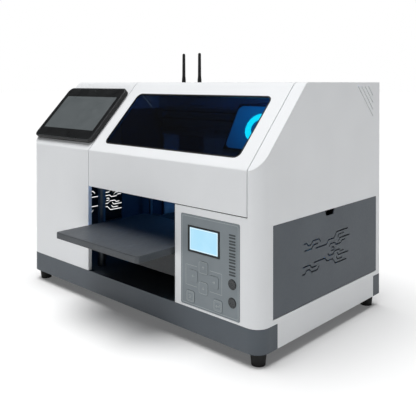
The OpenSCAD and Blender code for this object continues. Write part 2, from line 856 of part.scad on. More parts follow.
module bed_blocks() color("#a8abae") place() {
    for (s = [-1, 1], y = block_y) translate([x_bed + s * rail_x, y, 0]) difference() {
        block([-block_w / 2, 0, rail_z + 3], [block_w / 2, block_l, bed_top - bed_t]);
        block([-rail_w / 2 - rail_gap, -overlap, rail_z],
              [rail_w / 2 + rail_gap, block_l + overlap, rail_z + rail_h + rail_gap]);
    }
    difference() {
        block([x_bed - 16, block_y[0] + 20, rail_z + 6], [x_bed + 16, block_y[0] + 50, bed_top - bed_t]);
        rod_y(screw_r + run_fit, 0, body_d, x_bed, bed_screw_z);
    }
}

module bed_rails() color("#c4c7ca") place() for (s = [-1, 1])
    block([x_bed + s * rail_x - rail_w / 2, tray_y0 + tray_wall + 1, rail_z],
          [x_bed + s * rail_x + rail_w / 2, tray_y1 - tray_wall - 1, rail_z + rail_h]);

module bed_screw() color("#b8bbbe") place() {
    rod_y(screw_r, tray_y0 + 14, motor_plate_y - 8, x_bed, bed_screw_z);
    rod_y(screw_r - 2, tray_y0 + 5, motor_plate_y - 0.5, x_bed, bed_screw_z);
}

module bed_motor() color("#2b2e31") place() {
    side = bed_motor_side / 2;
    along_y(motor_plate_y + tray_wall, motor_plate_y + tray_wall + bed_motor_l)
        translate([x_bed, bed_screw_z]) rounded_rect(2 * side, 2 * side, 4);
    rod_y(2.5, motor_plate_y, motor_plate_y + tray_wall, x_bed, bed_screw_z);
}

// Ear that runs on a guide post or a lead screw
module lift_ear(x, y, r) {
    wall = x < x_bed ? tray_x0 + 1 : tray_x1 - 1;
    difference() {
        union() {
            rod_z(ear_r, tray_z, tray_top, x, y);
            block([min(x, wall), y - ear_r, tray_z], [max(x, wall), y + ear_r, tray_top]);
        }
        rod_z(r + run_fit, tray_z - overlap, tray_top + overlap, x, y);
    }
}

module lift_tray() color("#2f3336") place() {
    difference() {
        block([tray_x0, tray_y0, tray_z], [tray_x1, tray_y1, tray_top]);
        block([tray_x0 + tray_wall, tray_y0 + tray_wall, tray_z + tray_floor],
              [tray_x1 - tray_wall, tray_y1 - tray_wall, tray_top + overlap]);
    }
    // bearing at the front of the bed screw
    difference() {
        block([x_bed - 16, tray_y0 + tray_wall - root, rail_z - root],
              [x_bed + 16, tray_y0 + 12, bed_screw_z + 14]);
        rod_y(screw_r - 2 + run_fit, tray_y0 + tray_wall, tray_y0 + 13, x_bed, bed_screw_z);
    }
    // plate that holds the bed motor
    difference() {
        block([x_bed - 24, motor_plate_y, rail_z - root],
              [x_bed + 24, motor_plate_y + tray_wall, bed_screw_z + 20]);
        rod_y(3, motor_plate_y - overlap, motor_plate_y + 2 * tray_wall, x_bed, bed_screw_z);
    }
    for (x = post_x) {
        for (y = post_y) lift_ear(x, y, post_r);
        lift_ear(x, lift_y, screw_r);
    }
}

module guide_posts() color("#6f757a") place()
    for (x = post_x, y = post_y) rod_z(post_r, floor_top, tie_z, x, y);

module lift_screw(x) color("#b8bbbe") place() {
    rod_z(screw_r, floor_top + 0.5, tie_z - 0.5, x, lift_y);
    rod_z(screw_r - 2, floor_z + 0.3, tie_z + tie_t, x, lift_y);
}
module lift_screw_left() lift_screw(post_x[0]);
module lift_screw_right() lift_screw(post_x[1]);

// Two lift motors under the floor and the carriage motor behind the beam
module stepper_motors() color("#2b2e31") place() {
    for (x = post_x) translate([x, lift_y, floor_z - motor_h])
        linear_extrude(motor_h) rounded_rect(motor_side, motor_side, 5);
    along_y(beam_front + beam_d, beam_front + beam_d + motor_h)
        translate([drive_x, belt_z]) rounded_rect(motor_side, motor_side, 5);
}

// ---------------------------------------------------------------- gantry

module gantry_frame() color("#a9adb1") place() {
    y1 = beam_front + beam_d;
    difference() {
        block([beam_x0, beam_front, beam_z[0]], [beam_x1, y1, beam_z[1]]);
        // hollow extrusion
        block([beam_x0 + 2 * column_t, beam_front + 5, beam_z[0] + 5],
              [beam_x1 - 2 * column_t, y1 - 5, beam_z[1] - 5]);
        rod_y(7, beam_front - overlap, y1 + overlap, drive_x, belt_z);
    }
    for (x = [beam_x0, beam_x1 - column_t])
        block([x, beam_front, floor_top], [x + column_t, y1, beam_z[0] + overlap]);
    // ties over the guide posts
    for (x = post_x) difference() {
        block([x - 12, post_y[0] - 14, tie_z], [x + 12, post_y[1] + 14, tie_z + tie_t]);
        rod_z(screw_r - 2 + run_fit, tie_z - overlap, tie_z + tie_t + overlap, x, lift_y);
    }
    block([beam_x0, beam_front + 4, tie_z], [post_x[0], y1 - 4, tie_z + tie_t]);
    block([post_x[1], beam_front + 4, tie_z], [beam_x1, y1 - 4, tie_z + tie_t]);
}

module carriage_rail() color("#c4c7ca") place()
    block([beam_x0 + 6, beam_front - x_rail_d, x_rail_z - x_rail_h / 2],
          [beam_x1 - 4, beam_front, x_rail_z + x_rail_h / 2]);

module carriage_plate() color("#8f9498") place() {
    back = carriage_y1;
    low = cover_z[0] - 8;
    block([carriage_x0, back, low], [carriage_x1, back + 8, cover_z[1] - 4]);
    difference() {
        block([carriage_x0, carriage_y0, low], [carriage_x1, back + 1, cover_z[0]]);
        for (i = [0:1]) head_seat(i, fit);
        lamp_seat(fit);
    }
    // two blocks that run on the rail
    for (x = [carriage_x0 + 10, carriage_x1 - 70]) difference() {
        block([x, back + 8, x_rail_z - 17], [x + 60, beam_front - 3, x_rail_z + 17]);
        block([x - 1, beam_front - x_rail_d - rail_gap, x_rail_z - x_rail_h / 2 - rail_gap],
              [x + 61, beam_front, x_rail_z + x_rail_h / 2 + rail_gap]);
    }
    // clamp round the lower run of the belt
    clamp_x = (carriage_x0 + carriage_x1) / 2;
    run_z = belt_z - pulley_r - belt_t / 2;
    difference() {
        block([clamp_x - 10, back + 8, run_z - 5], [clamp_x + 10, belt_y + belt_w + 3, run_z + 5]);
        block([clamp_x - 11, belt_y - 0.5, run_z - 1.3], [clamp_x + 11, belt_y + belt_w + 0.5, run_z + 1.3]);
    }
}

// Side outline of the carriage cover, inset by a wall, as [y, z]
function carriage_outline(w, z0) =
    let (
        foot = [carriage_y0 + w / sin(cover_a), z0],
        top = cover_z[1] - w,
        brow = [foot[0] + (top - cover_z[0]) / tan(cover_a), top],
        back = carriage_y1 - fit - w
    )
    concat([foot], round_corner(foot, brow, [back, top], 12 - w), [[back, top], [back, z0]]);

module carriage_cover() color("#1f2a38") place() difference() {
    along_x(carriage_x0, carriage_x1) polygon(carriage_outline(0, cover_z[0]));
    along_x(carriage_x0 + cover_wall, carriage_x1 - cover_wall)
        polygon(carriage_outline(cover_wall, cover_z[0] - overlap));
}

module ring_light() color("#0ae6fc") place()
    translate([(carriage_x0 + carriage_x1) / 2, carriage_y0, cover_z[0]]) rotate([cover_a, 0, 0])
        translate([0, ring_up, 0]) rotate_extrude() translate([ring_r - ring_band, 0])
            polygon([[0, 0], [ring_band, 0], [ring_band, 3], [ring_band - 1.5, 4.5], [1.5, 4.5], [0, 3]]);

function head_x(i) = carriage_x0 + head_in + head_pitch * i;

// Box centred on x and head_y, w wide and l long, from z0 to z1
module head_box(x, w, l, z0, z1) block([x - w / 2, head_y - l / 2, z0], [x + w / 2, head_y + l / 2, z1]);

// Openings in the carriage plate for the heads and the lamp
module head_seat(i, gap)
    head_box(head_x(i), head_w + 2 * gap, head_l + 2 * gap, nozzle_z, cover_z[0] + overlap);
module lamp_seat(gap) head_box(lamp_x, lamp_w + 2 * gap, lamp_l + 2 * gap, nozzle_z, cover_z[0] + overlap);

module print_heads() color("#3f4347") place() for (i = [0:1]) {
    x = head_x(i);
    head_box(x, head_w, head_l, nozzle_z + 22, cover_z[0] + 50);
    head_box(x, head_w + 8, head_l + 8, nozzle_z + 22, cover_z[0] - 8);
    head_box(x, head_w - 6, head_l - 12, nozzle_z + 3, nozzle_z + 23);
    head_box(x, head_w - 10, head_l - 16, nozzle_z, nozzle_z + 4);
}

module uv_lamp() color("#5d6a76") place() {
    fin_pitch = 4.6;
    fin_gap = 2.4;
    difference() {
        head_box(lamp_x, lamp_w, lamp_l, nozzle_z + 12, cover_z[0] + 30);
        // gaps between the fins of the heat sink
        for (i = [-4:4])
            head_box(lamp_x + i * fin_pitch, fin_gap, lamp_l + 20, cover_z[0] + 4, cover_z[0] + 40);
        // recess of the light strip
        head_box(lamp_x, lamp_w - 20, lamp_l - 12, nozzle_z + 10, nozzle_z + 14);
    }
}

module belt_pulley(x, bore) {
    difference() {
        union() {
            rod_y(pulley_r, belt_y - 0.5, belt_y + belt_w + 0.5, x, belt_z);
            rod_y(pulley_r + 2.5, belt_y - 2, belt_y - 0.5, x, belt_z);
            rod_y(pulley_r + 2.5, belt_y + belt_w + 0.5, belt_y + belt_w + 2, x, belt_z);
        }
        if (bore) rod_y(pulley_shaft_r + run_fit, belt_y - 5, belt_y + belt_w + 5, x, belt_z);
    }
}

module drive_pulley() color("#c0c3c6") place() {
    belt_pulley(drive_x, false);
    rod_y(pulley_shaft_r, belt_y + belt_w + 2, beam_front + beam_d - 0.3, drive_x, belt_z);
}
module idler_pulley() color("#c0c3c6") place() belt_pulley(idler_x, true);

module carriage_belt() color("#1a1b1c") place() {
    r0 = pulley_r + run_fit;
    r1 = r0 + belt_t;
    along_y(belt_y, belt_y + belt_w) difference() {
        union() {
            for (x = [drive_x, idler_x]) translate([x, belt_z]) circle(r1);
            translate([drive_x, belt_z - r1]) square([idler_x - drive_x, 2 * r1]);
        }
        for (x = [drive_x, idler_x]) translate([x, belt_z]) circle(r0);
        translate([drive_x, belt_z - r0]) square([idler_x - drive_x, 2 * r0]);
    }
    // stub axle of the idler
    rod_y(pulley_shaft_r, belt_y - 2, beam_front, idler_x, belt_z);
}

// ---------------------------------------------------------------- inner pieces

module capping_station() color("#34383b") place() {
    mid = (head_x(0) + head_x(1)) / 2;
    width = head_pitch + 40;
    z1 = nozzle_z - 6;
    cap = [30, 80];
    lip = 3;
    difference() {
        head_box(mid, width, cap[1] + 24, z1 - 36, z1);
        for (i = [0:1]) head_box(head_x(i), cap[0], cap[1], z1 - 8, z1 + overlap);
    }
    // rubber lips round the two caps
    for (i = [0:1]) difference() {
        head_box(head_x(i), cap[0], cap[1], z1 - 8, z1 + lip);
        head_box(head_x(i), cap[0] - 2 * lip, cap[1] - 2 * lip, z1 - 5, z1 + lip + overlap);
    }
    // foot
    head_box(mid, width - 20, 24, floor_top, z1 - 36);
}

module ink_bottles() color("#d9dcde") place() for (i = [0:bottle_n - 1])
    translate([bottle_x, bottle_y0 + i * bottle_pitch, floor_top]) rotate_extrude() polygon(concat(
        [[0, 0], [bottle_r - 2, 0], [bottle_r, 2], [bottle_r, bottle_h - 18]],
        [for (a = [20:20:80]) [neck_r + (bottle_r - neck_r) * cos(a), bottle_h - 18 + 12 * sin(a)]],
        [[neck_r, bottle_h - 6], [neck_r, bottle_h], [cap_r, bottle_h],
         [cap_r, bottle_h + cap_h], [0, bottle_h + cap_h]]
    ));

module power_supply() color("#a3a6a8") place() {
    x0 = x_left + skin + 8;
    y1 = body_d - 28;
    lid = floor_top + psu[2];
    difference() {
        block([x0, y1 - psu[1], floor_top], [x0 + psu[0], y1, lid]);
        // perforated lid
        for (i = [0:8], j = [0:14])
            rod_z(2.5, lid - 1.5, lid + overlap, x0 + 16 + i * 10, y1 - 190 + j * 11);
    }
}

module main_board() color("#20603a") place() {
    x = partition_x - sheet;
    y0 = board_y[0];
    z0 = board_z[0];
    stand_off = 6.4;
    face = x - stand_off - 1.6;
    block([face, y0, z0], [x - stand_off, board_y[1], board_z[1]]);
    for (y = [y0 + 8, board_y[1] - 8], z = [z0 + 8, board_z[1] - 8]) rod_x(3, x - stand_off, x, y, z);
    // four motor drivers, the processor and the cable sockets
    for (i = [0:3]) block([face - 10, y0 + 16 + i * 34, z0 + 92], [face, y0 + 36 + i * 34, z0 + 112]);
    block([face - 6, y0 + 30, z0 + 30], [face, y0 + 70, z0 + 70]);
    block([face - 14, y0 + 100, z0 + 14], [face, y0 + 146, z0 + 34]);
}

module fan_frame() color("#1c1e20") place() translate([fan_c[0], body_d - rear_t, fan_c[1]]) {
    half = fan_side / 2;
    difference() {
        along_y(-fan_l, 0) rounded_rect(fan_side, fan_side, 6);
        along_y(-fan_l - overlap, overlap) circle(half - 2);
        for (x = [-1, 1], z = [-1, 1])
            rod_y(2.1, -fan_l - overlap, overlap, x * (half - 4.5), z * (half - 4.5));
    }
    // hub plate on three arms
    along_y(-3, 0) {
        circle(hub_r + 0.5);
        for (a = [90:120:330]) rotate(a) translate([0, -2.5]) square([half - 1, 5]);
    }
    rod_y(hub_shaft_r, -16, -3, 0, 0);
}

module fan_rotor() color("#26282a") place() translate([fan_c[0], body_d - rear_t, fan_c[1]]) {
    difference() {
        rod_y(hub_r, 1 - fan_l, -4, 0, 0);
        rod_y(hub_shaft_r + run_fit, -17, -3, 0, 0);
    }
    // seven pitched blades
    for (i = [0:6]) rotate([0, i * 360 / 7, 0]) translate([0, -14, 0]) rotate([0, 0, 38])
        block([-1, -10, hub_r - 1], [1, 10, fan_side / 2 - 5]);
}

module at_inlet() translate([inlet_c[0], body_d, inlet_c[1]]) children();
module at_switch() translate([switch_c[0], body_d, switch_c[1]]) children();

// Inlet socket with the frame of the rocker switch beside it
module power_inlet() color("#17181a") place() {
    difference() {
        union() {
            at_inlet() along_y(-20, 0) square(inlet_hole - [0.6, 0.6], center = true);
            at_inlet() along_y(0, bezel_t) rounded_rect(inlet_hole[0] + 20, inlet_hole[1] + 9, 3);
            at_switch() along_y(-12, 0) square(switch_hole - [0.6, 0.6], center = true);
            at_switch() along_y(0, bezel_t) rounded_rect(switch_hole[0] + 5, switch_hole[1] + 4, 3);
        }
        at_inlet() along_y(-16, 3) square(inlet_hole - [4, 4.5], center = true);
        at_switch() along_y(-10, 3) square(switch_hole - [4.2, 2.4], center = true);
    }
    // three contact blades, the middle one higher
    at_inlet() for (x = [-7, 0, 7]) block([x - 1, -17, x == 0 ? 0 : -5], [x + 1, -4, x == 0 ? 5 : 0]);
    // stubs that the rocker turns on
    at_switch() both_sides() rod_x(rocker_pin_r - run_fit, 4, 6.5, -3, 0);
}

module power_switch() color("#17181a") place() at_switch() difference() {
    union() {
        rod_x(6.4, -5.5, 5.5, -3, 0);
        along_x(-5.5, 5.5) polygon([[-3, -9], [1.8, -9], [0.8, 0], [4.4, 9], [-3, 9]]);
    }
    rod_x(rocker_pin_r, -10, 10, -3, 0);
}

base_tray();
rubber_feet();
left_cover();
right_cover();
top_cover();
rear_panel();
partition();
hood_shell();
hood_window();
hinge_body_leaf();
hinge_hood_leaf();
hinge_pin();
right_door();
left_door();
finger_cups();
control_panel();
lcd_display();
key_up();
key_down();
key_left();
key_right();
key_menu();
key_enter();
button_start();
button_stop();
tablet_housing();
tablet_screen();
antenna_connectors();
antenna_left_swivel();
antenna_left_rod();
antenna_right_swivel();
antenna_right_rod();
bed_plate();
bed_blocks();
bed_rails();
bed_screw();
bed_motor();
lift_tray();
guide_posts();
lift_screw_left();
lift_screw_right();
stepper_motors();
gantry_frame();
carriage_rail();
carriage_plate();
carriage_cover();
ring_light();
print_heads();
uv_lamp();
drive_pulley();
idler_pulley();
carriage_belt();
capping_station();
ink_bottles();
power_supply();
main_board();
fan_frame();
fan_rotor();
power_inlet();
power_switch();
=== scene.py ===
"""Desktop flatbed UV printer: finishes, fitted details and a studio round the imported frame."""
import math

import bmesh
import bpy
from mathutils import Matrix, Vector


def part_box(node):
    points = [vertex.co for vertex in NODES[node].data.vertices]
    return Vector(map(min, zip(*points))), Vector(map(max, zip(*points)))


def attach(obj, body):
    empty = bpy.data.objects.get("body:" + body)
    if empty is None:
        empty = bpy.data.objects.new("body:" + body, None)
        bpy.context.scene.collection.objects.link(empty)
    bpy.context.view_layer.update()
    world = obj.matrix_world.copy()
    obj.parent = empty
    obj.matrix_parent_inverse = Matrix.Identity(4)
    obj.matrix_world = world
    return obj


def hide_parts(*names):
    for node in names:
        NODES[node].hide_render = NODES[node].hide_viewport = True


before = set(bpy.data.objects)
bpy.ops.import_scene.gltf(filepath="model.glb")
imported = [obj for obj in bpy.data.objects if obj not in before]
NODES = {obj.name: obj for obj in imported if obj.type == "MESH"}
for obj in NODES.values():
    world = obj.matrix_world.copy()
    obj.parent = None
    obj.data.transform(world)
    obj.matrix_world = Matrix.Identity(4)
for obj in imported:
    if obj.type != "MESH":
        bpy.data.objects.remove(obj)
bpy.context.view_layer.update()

MM = 0.001
TINY = 1e-5
scene = bpy.context.scene

# Planes that the fitted details sit on
FRONT_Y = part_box("left_cover")[0].y
REAR_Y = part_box("rear_panel")[1].y
PANEL_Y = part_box("control_panel")[0].y
SLOPE = math.atan2(170, 160)       # the sloping front rises 170 mm over 160 mm
CARRIAGE_SLOPE = math.radians(60)  # the carriage cover's face is steeper
SKIN = 3 * MM                      # sheet of the covers


# ---------------------------------------------------------------- camera and studio

def place_camera():
    """Eye level just under the flat top, off the machine's right front corner.
    The lens is shifted down, as a view camera's is, so that upright edges stay upright."""
    dip, heading = 0.483, 43.08     # degrees below level, and to the left of straight back
    data = bpy.data.cameras.new("camera")
    data.sensor_width = 36
    data.lens = 51.1
    data.shift_y = -0.288
    camera = bpy.data.objects.new("camera", data)
    camera.location = (1.0947, -1.0791, 0.549)
    camera.rotation_euler = (math.radians(90 - dip), 0, math.radians(heading))
    scene.collection.objects.link(camera)
    scene.camera = camera


def add_light(name, kind, place, target, power, colour=(1, 1, 1), **settings):
    data = bpy.data.lights.new(name, kind)
    data.energy = power
    data.color = colour
    for key, value in settings.items():
        setattr(data, key, value)
    light = bpy.data.objects.new(name, data)
    light.location = place
    light.rotation_euler = (Vector(target) - Vector(place)).to_track_quat("-Z", "Y").to_euler()
    scene.collection.objects.link(light)


def light_studio():
    """One very wide soft light overhead. The floor throws it back at the front and the sides, so
    the tops are brightest, the front is a light grey and the right side a step darker."""
    add_light("overhead", "SUN", (-0.25, -0.35, 3), (0, 0, 0), 3.35, angle=math.radians(50))


def light_inside():
    """Blue light-emitting diode strips: one along the right end of the hood, one behind the bay."""
    strip = {"shape": "RECTANGLE", "size": 200 * MM, "size_y": 20 * MM}
    low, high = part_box("hood_window")
    start, aim = (high.x, 60 * MM, high.z), (50 * MM, 200 * MM, low.z)
    add_light("hood_strip", "AREA", start, aim, 0.9, (0.06, 0.32, 1), **strip)
    low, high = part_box("lift_tray")
    start, aim = (high.x - 30 * MM, high.y - 100 * MM, 270 * MM), (low.x, high.y, 200 * MM)
    add_light("bay_strip", "AREA", start, aim, 0.4, (0.12, 0.4, 1), **strip)


def add_surround():
    """White behind the machine for the eye; for light and reflections, a dim cool grey room."""
    world = bpy.data.worlds.new("studio")
    scene.world = world
    world.use_nodes = True
    tree = world.node_tree
    tree.nodes.clear()
    seen = add_node(tree, "ShaderNodeBackground", Color=(1, 1, 1, 1), Strength=1.0)
    room = add_node(tree, "ShaderNodeBackground", Color=(0.94, 0.97, 1, 1), Strength=0.05)
    ray = add_node(tree, "ShaderNodeLightPath")
    mix = add_node(tree, "ShaderNodeMixShader", {
        0: ray.outputs["Is Camera Ray"],
        1: room.outputs["Background"], 2: seen.outputs["Background"]})
    add_node(tree, "ShaderNodeOutputWorld", {"Surface": mix.outputs["Shader"]})


# ---------------------------------------------------------------- material tools

def linear(hex_colour):
    """An sRGB hex colour as linear RGBA."""
    parts = [int(hex_colour[i:i + 2], 16) / 255 for i in (1, 3, 5)]
    return (*(c / 12.92 if c <= 0.04045 else ((c + 0.055) / 1.055) ** 2.4 for c in parts), 1.0)


def add_node(tree, kind, links=None, **settings):
    """Adds a node. A setting is one of its own properties or, failing that, an input's value.
    links maps an input to the output socket that feeds it."""
    node = tree.nodes.new(kind)
    for key, value in settings.items():
        if hasattr(node, key):
            setattr(node, key, value)
        else:
            node.inputs[key.replace("_", " ")].default_value = value
    for key, socket in (links or {}).items():
        tree.links.new(socket, node.inputs[key])
    return node


def new_material(name, colour, roughness, **settings):
    """A material of one Principled shader, with its constants set on the shader itself."""
    material = bpy.data.materials.new(name)
    material.use_nodes = True
    tree = material.node_tree
    shader = tree.nodes["Principled BSDF"]
    shader.inputs["Base Color"].default_value = linear(colour)
    shader.inputs["Roughness"].default_value = roughness
    for key, value in settings.items():
        shader.inputs[key.replace("_", " ")].default_value = value
    return material, tree, shader


def grain_noise(tree, size_mm, detail=3.0, stretch=(1, 1, 1)):
    """Noise with blobs size_mm across. A small stretch draws them out along that axis."""
    place = add_node(tree, "ShaderNodeTexCoord")
    scaled = add_node(tree, "ShaderNodeMapping", {"Vector": place.outputs["Object"]}, Scale=stretch)
    return add_node(tree, "ShaderNodeTexNoise", {"Vector": scaled.outputs["Vector"]},
                    Scale=1000 / size_mm, Detail=detail)


def ramp_between(tree, factor, first, second, low, high):
    """A ramp from one linear colour at low to another at high."""
    ramp = add_node(tree, "ShaderNodeValToRGB", {"Fac": factor})
    for element, position, colour in zip(ramp.color_ramp.elements, (low, high), (first, second)):
        element.position = position
        element.color = colour
    return ramp.outputs["Color"]


def drift_colour(tree, shader, factor, first, second, low=0.35, high=0.65):
    """Base colour that drifts between two hex colours."""
    colour = ramp_between(tree, factor, linear(first), linear(second), low, high)
    tree.links.new(colour, shader.inputs["Base Color"])


def vary_roughness(tree, shader, factor, low, high):
    """Roughness that follows a noise, which keeps mostly between 0.3 and 0.7."""
    spread = add_node(tree, "ShaderNodeMapRange", {"Value": factor},
                      From_Min=0.3, From_Max=0.7, To_Min=low, To_Max=high)
    tree.links.new(spread.outputs["Result"], shader.inputs["Roughness"])


def raise_surface(tree, shader, height, depth_mm, edge_mm):
    """Bump of a real depth, over edges that are eased by a radius of edge_mm."""
    eased = add_node(tree, "ShaderNodeBevel", Radius=edge_mm * MM, samples=4)
    bump = add_node(tree, "ShaderNodeBump", {"Height": height, "Normal": eased.outputs["Normal"]},
                    Distance=depth_mm * MM)
    tree.links.new(bump.outputs["Normal"], shader.inputs["Normal"])


# ---------------------------------------------------------------- materials

def powder_coated_steel(name, colour, shade, roughness=0.42):
    """Sheet steel under a baked powder coat: an even colour, a satin gloss and faint orange peel.
    Real peel is about 1.5 mm across, and it is drawn at 4 mm so that it shows."""
    material, tree, shader = new_material(name, colour, roughness, IOR=1.5, Specular_IOR_Level=0.35)
    drift_colour(tree, shader, grain_noise(tree, 140, 2).outputs["Fac"], shade, colour)
    peel = grain_noise(tree, 4, 2).outputs["Fac"]
    vary_roughness(tree, shader, peel, roughness - 0.05, roughness + 0.06)
    raise_surface(tree, shader, peel, 0.03, 0.9)
    return material


def moulded_plastic(name, colour, shade, roughness=0.5, grain_mm=1.6, depth_mm=0.04):
    """ABS from a spark-eroded mould: a fine pebble grain that breaks up the gloss."""
    material, tree, shader = new_material(name, colour, roughness, IOR=1.53)
    drift_colour(tree, shader, grain_noise(tree, 60, 2).outputs["Fac"], shade, colour)
    pebble = grain_noise(tree, grain_mm, 4).outputs["Fac"]
    vary_roughness(tree, shader, pebble, roughness - 0.08, roughness + 0.08)
    raise_surface(tree, shader, pebble, depth_mm, 0.5)
    return material


def moulded_rubber(name, colour, shade):
    """Vulcanised rubber: nearly black and dull, with a slight bloom and a coarse skin."""
    material, tree, shader = new_material(name, colour, 0.78, IOR=1.52)
    drift_colour(tree, shader, grain_noise(tree, 18, 3).outputs["Fac"], colour, shade)
    raise_surface(tree, shader, grain_noise(tree, 1.2, 3).outputs["Fac"], 0.06, 0.8)
    return material


def ground_metal(name, colour, shade, along=(1, 1, 1), roughness=0.28):
    """Ground or turned metal: bright, with fine scratches that run along the piece."""
    material, tree, shader = new_material(name, colour, roughness, Metallic=1.0)
    scratches = grain_noise(tree, 1.5, 4, along).outputs["Fac"]
    drift_colour(tree, shader, scratches, shade, colour, 0.3, 0.7)
    vary_roughness(tree, shader, scratches, roughness - 0.07, roughness + 0.12)
    raise_surface(tree, shader, scratches, 0.015, 0.4)
    return material


def anodised_aluminium(name, colour, shade, roughness=0.4, along=(1, 1, 1), metallic=0.8):
    """Machined, anodised aluminium: a dull sheen over a very fine grain, cloudy on a wide face."""
    material, tree, shader = new_material(name, colour, roughness, Metallic=metallic)
    cloud = grain_noise(tree, 90, 6, along).outputs["Fac"]
    drift_colour(tree, shader, cloud, shade, colour, 0.36, 0.64)
    grain = grain_noise(tree, 2.2, 4, along).outputs["Fac"]
    vary_roughness(tree, shader, grain, roughness - 0.06, roughness + 0.08)
    raise_surface(tree, shader, grain, 0.012, 0.8)
    return material


def tinted_acrylic(name, colour):
    """Cast acrylic sheet in a smoke tint: dark, clear and smooth, with faint wiping marks."""
    material, tree, shader = new_material(name, colour, 0.05, IOR=1.49, Transmission_Weight=1.0)
    wipe = grain_noise(tree, 26, 4, (0.3, 1, 1)).outputs["Fac"]
    vary_roughness(tree, shader, wipe, 0.03, 0.08)
    return material


def display_glass(name, colour, shade, roughness=0.16):
    """Toughened cover glass over a display that is off: smooth and dark, with light finger haze."""
    material, tree, shader = new_material(name, colour, roughness, IOR=1.5)
    haze = grain_noise(tree, 30, 5).outputs["Fac"]
    drift_colour(tree, shader, haze, shade, colour)
    vary_roughness(tree, shader, haze, roughness - 0.04, roughness + 0.08)
    raise_surface(tree, shader, haze, 0.004, 0.4)
    return material


UNLIT = "#26343c"       # a lit face's own colour, which its light drowns


def lit_diffuser(name, colour, dim, strength, spot_mm):
    """Milky plastic over light-emitting diodes, with a softly brighter spot at each diode."""
    material, tree, shader = new_material(name, UNLIT, 0.35, IOR=1.49, Emission_Strength=strength)
    spots = grain_noise(tree, spot_mm, 1).outputs["Fac"]
    glow = ramp_between(tree, spots, linear(dim), linear(colour), 0.3, 0.6)
    tree.links.new(glow, shader.inputs["Emission Color"])
    return material


def painted_ring_glow(name, centre, near, middle, far, strength):
    """Painted light: emission that paints the ring's blue glow on a sheet, bright round a point and
    dark towards its far corners.
    """
    bright_to, dark_from = 30 * MM, 130 * MM
    material, tree, shader = new_material(name, UNLIT, 0.25, IOR=1.49, Emission_Strength=strength)
    place = add_node(tree, "ShaderNodeTexCoord")
    offset = add_node(tree, "ShaderNodeMapping", {"Vector": place.outputs["Object"]},
                      vector_type="POINT", Location=[-c for c in centre])
    away = add_node(tree, "ShaderNodeVectorMath", {0: offset.outputs["Vector"]}, operation="LENGTH")
    share = add_node(tree, "ShaderNodeMapRange", {"Value": away.outputs["Value"]},
                     From_Min=bright_to, From_Max=dark_from)
    ramp = add_node(tree, "ShaderNodeValToRGB", {"Fac": share.outputs["Result"]})
    ramp.color_ramp.elements[0].color = linear(near)
    ramp.color_ramp.elements[1].color = linear(far)
    ramp.color_ramp.elements.new(0.35).color = linear(middle)
    tree.links.new(ramp.outputs["Color"], shader.inputs["Emission Color"])
    return material


def printed_ink(name, colour, shade):
    """Screen-printed ink: flat and matt, with the faint mottle of a thin film."""
    material, tree, shader = new_material(name, colour, 0.6, IOR=1.5)
    mottle = grain_noise(tree, 1.5, 2).outputs["Fac"]
    drift_colour(tree, shader, mottle, shade, colour)
    vary_roughness(tree, shader, mottle, 0.55, 0.7)
    return material


place_camera()
light_studio()
light_inside()
add_surround()
scene.view_settings.view_transform = "Standard"

WHITE_COAT = powder_coated_steel("powder_coated_white_steel", "#f3f5f7", "#f0f2f4")
GREY_COAT = powder_coated_steel("powder_coated_grey_steel", "#5b6269", "#555c63", 0.5)
REAR_COAT = powder_coated_steel("powder_coated_pale_steel", "#c3c6c9", "#b9bcc0", 0.5)
BLUE_COAT = powder_coated_steel("powder_coated_midnight_steel", "#1d2a3c", "#172232", 0.55)
BLACK_COAT = powder_coated_steel("powder_coated_black_steel", "#2b2e31", "#242729", 0.5)
RUBBER = moulded_rubber("vulcanised_black_rubber", "#0a0a0a", "#111112")
BELT = moulded_rubber("fibre_cored_belt_rubber", "#151617", "#1f2021")
BLACK_ABS = moulded_plastic("grained_black_abs", "#0c0d0e", "#090a0b", 0.52)
COVER_ABS = moulded_plastic("grained_midnight_abs", "#1b2634", "#141d29", 0.45)
FILM = moulded_plastic("matt_printed_polyester_film", "#868f94", "#80898e", 0.5, 1.0, 0.012)
BUTTON_ABS = moulded_plastic("polished_charcoal_abs", "#2a2f32", "#23282b", 0.3, 2.0, 0.01)
BOTTLE = moulded_plastic("blown_natural_polyethylene", "#dfe2e4", "#d3d7da", 0.4, 6.0, 0.05)
BOARD = moulded_plastic("green_solder_mask", "#1f6a41", "#195a37", 0.35, 3.0, 0.02)
STEEL_X = ground_metal("ground_steel_along_x", "#b4b7ba", "#93979b", (0.06, 1, 1))
STEEL_Y = ground_metal("ground_steel_along_y", "#b4b7ba", "#93979b", (1, 0.06, 1))
STEEL_Z = ground_metal("ground_steel_along_z", "#6f757a", "#5c6267", (1, 1, 0.06), 0.5)
TURNED_STEEL = ground_metal("turned_zinc_plated_steel", "#c3c5c6", "#a2a5a8")
BRASS = ground_metal("turned_brass", "#c8a250", "#a9853c", (1, 0.3, 1), 0.3)
ALUMINIUM = anodised_aluminium("clear_anodised_aluminium", "#b2b6ba", "#a0a5aa", 0.42, (0.08, 1, 1))
BED_METAL = anodised_aluminium("black_anodised_aluminium", "#54585c", "#4c5054", 0.5,
                               (1, 0.1, 1), 0.35)
ACRYLIC = tinted_acrylic("smoke_blue_cast_acrylic", "#4a5a6c")
COVER_GLASS = display_glass("tablet_cover_glass", "#161819", "#131415", 0.3)
DARK_DISPLAY = display_glass("switched_off_display", "#575d5f", "#545a5c", 0.45)
LCD = lit_diffuser("backlit_pale_blue_display", "#b6e6fd", "#ade2fb", 0.95, 30)
RING = lit_diffuser("lit_cyan_diffuser", "#0af4fa", "#08e6f0", 9, 12)
WHITE_INK = printed_ink("pale_grey_screen_ink", "#b4bbbe", "#a9b1b4")
DARK_INK = printed_ink("charcoal_screen_ink", "#454c50", "#3e4548")
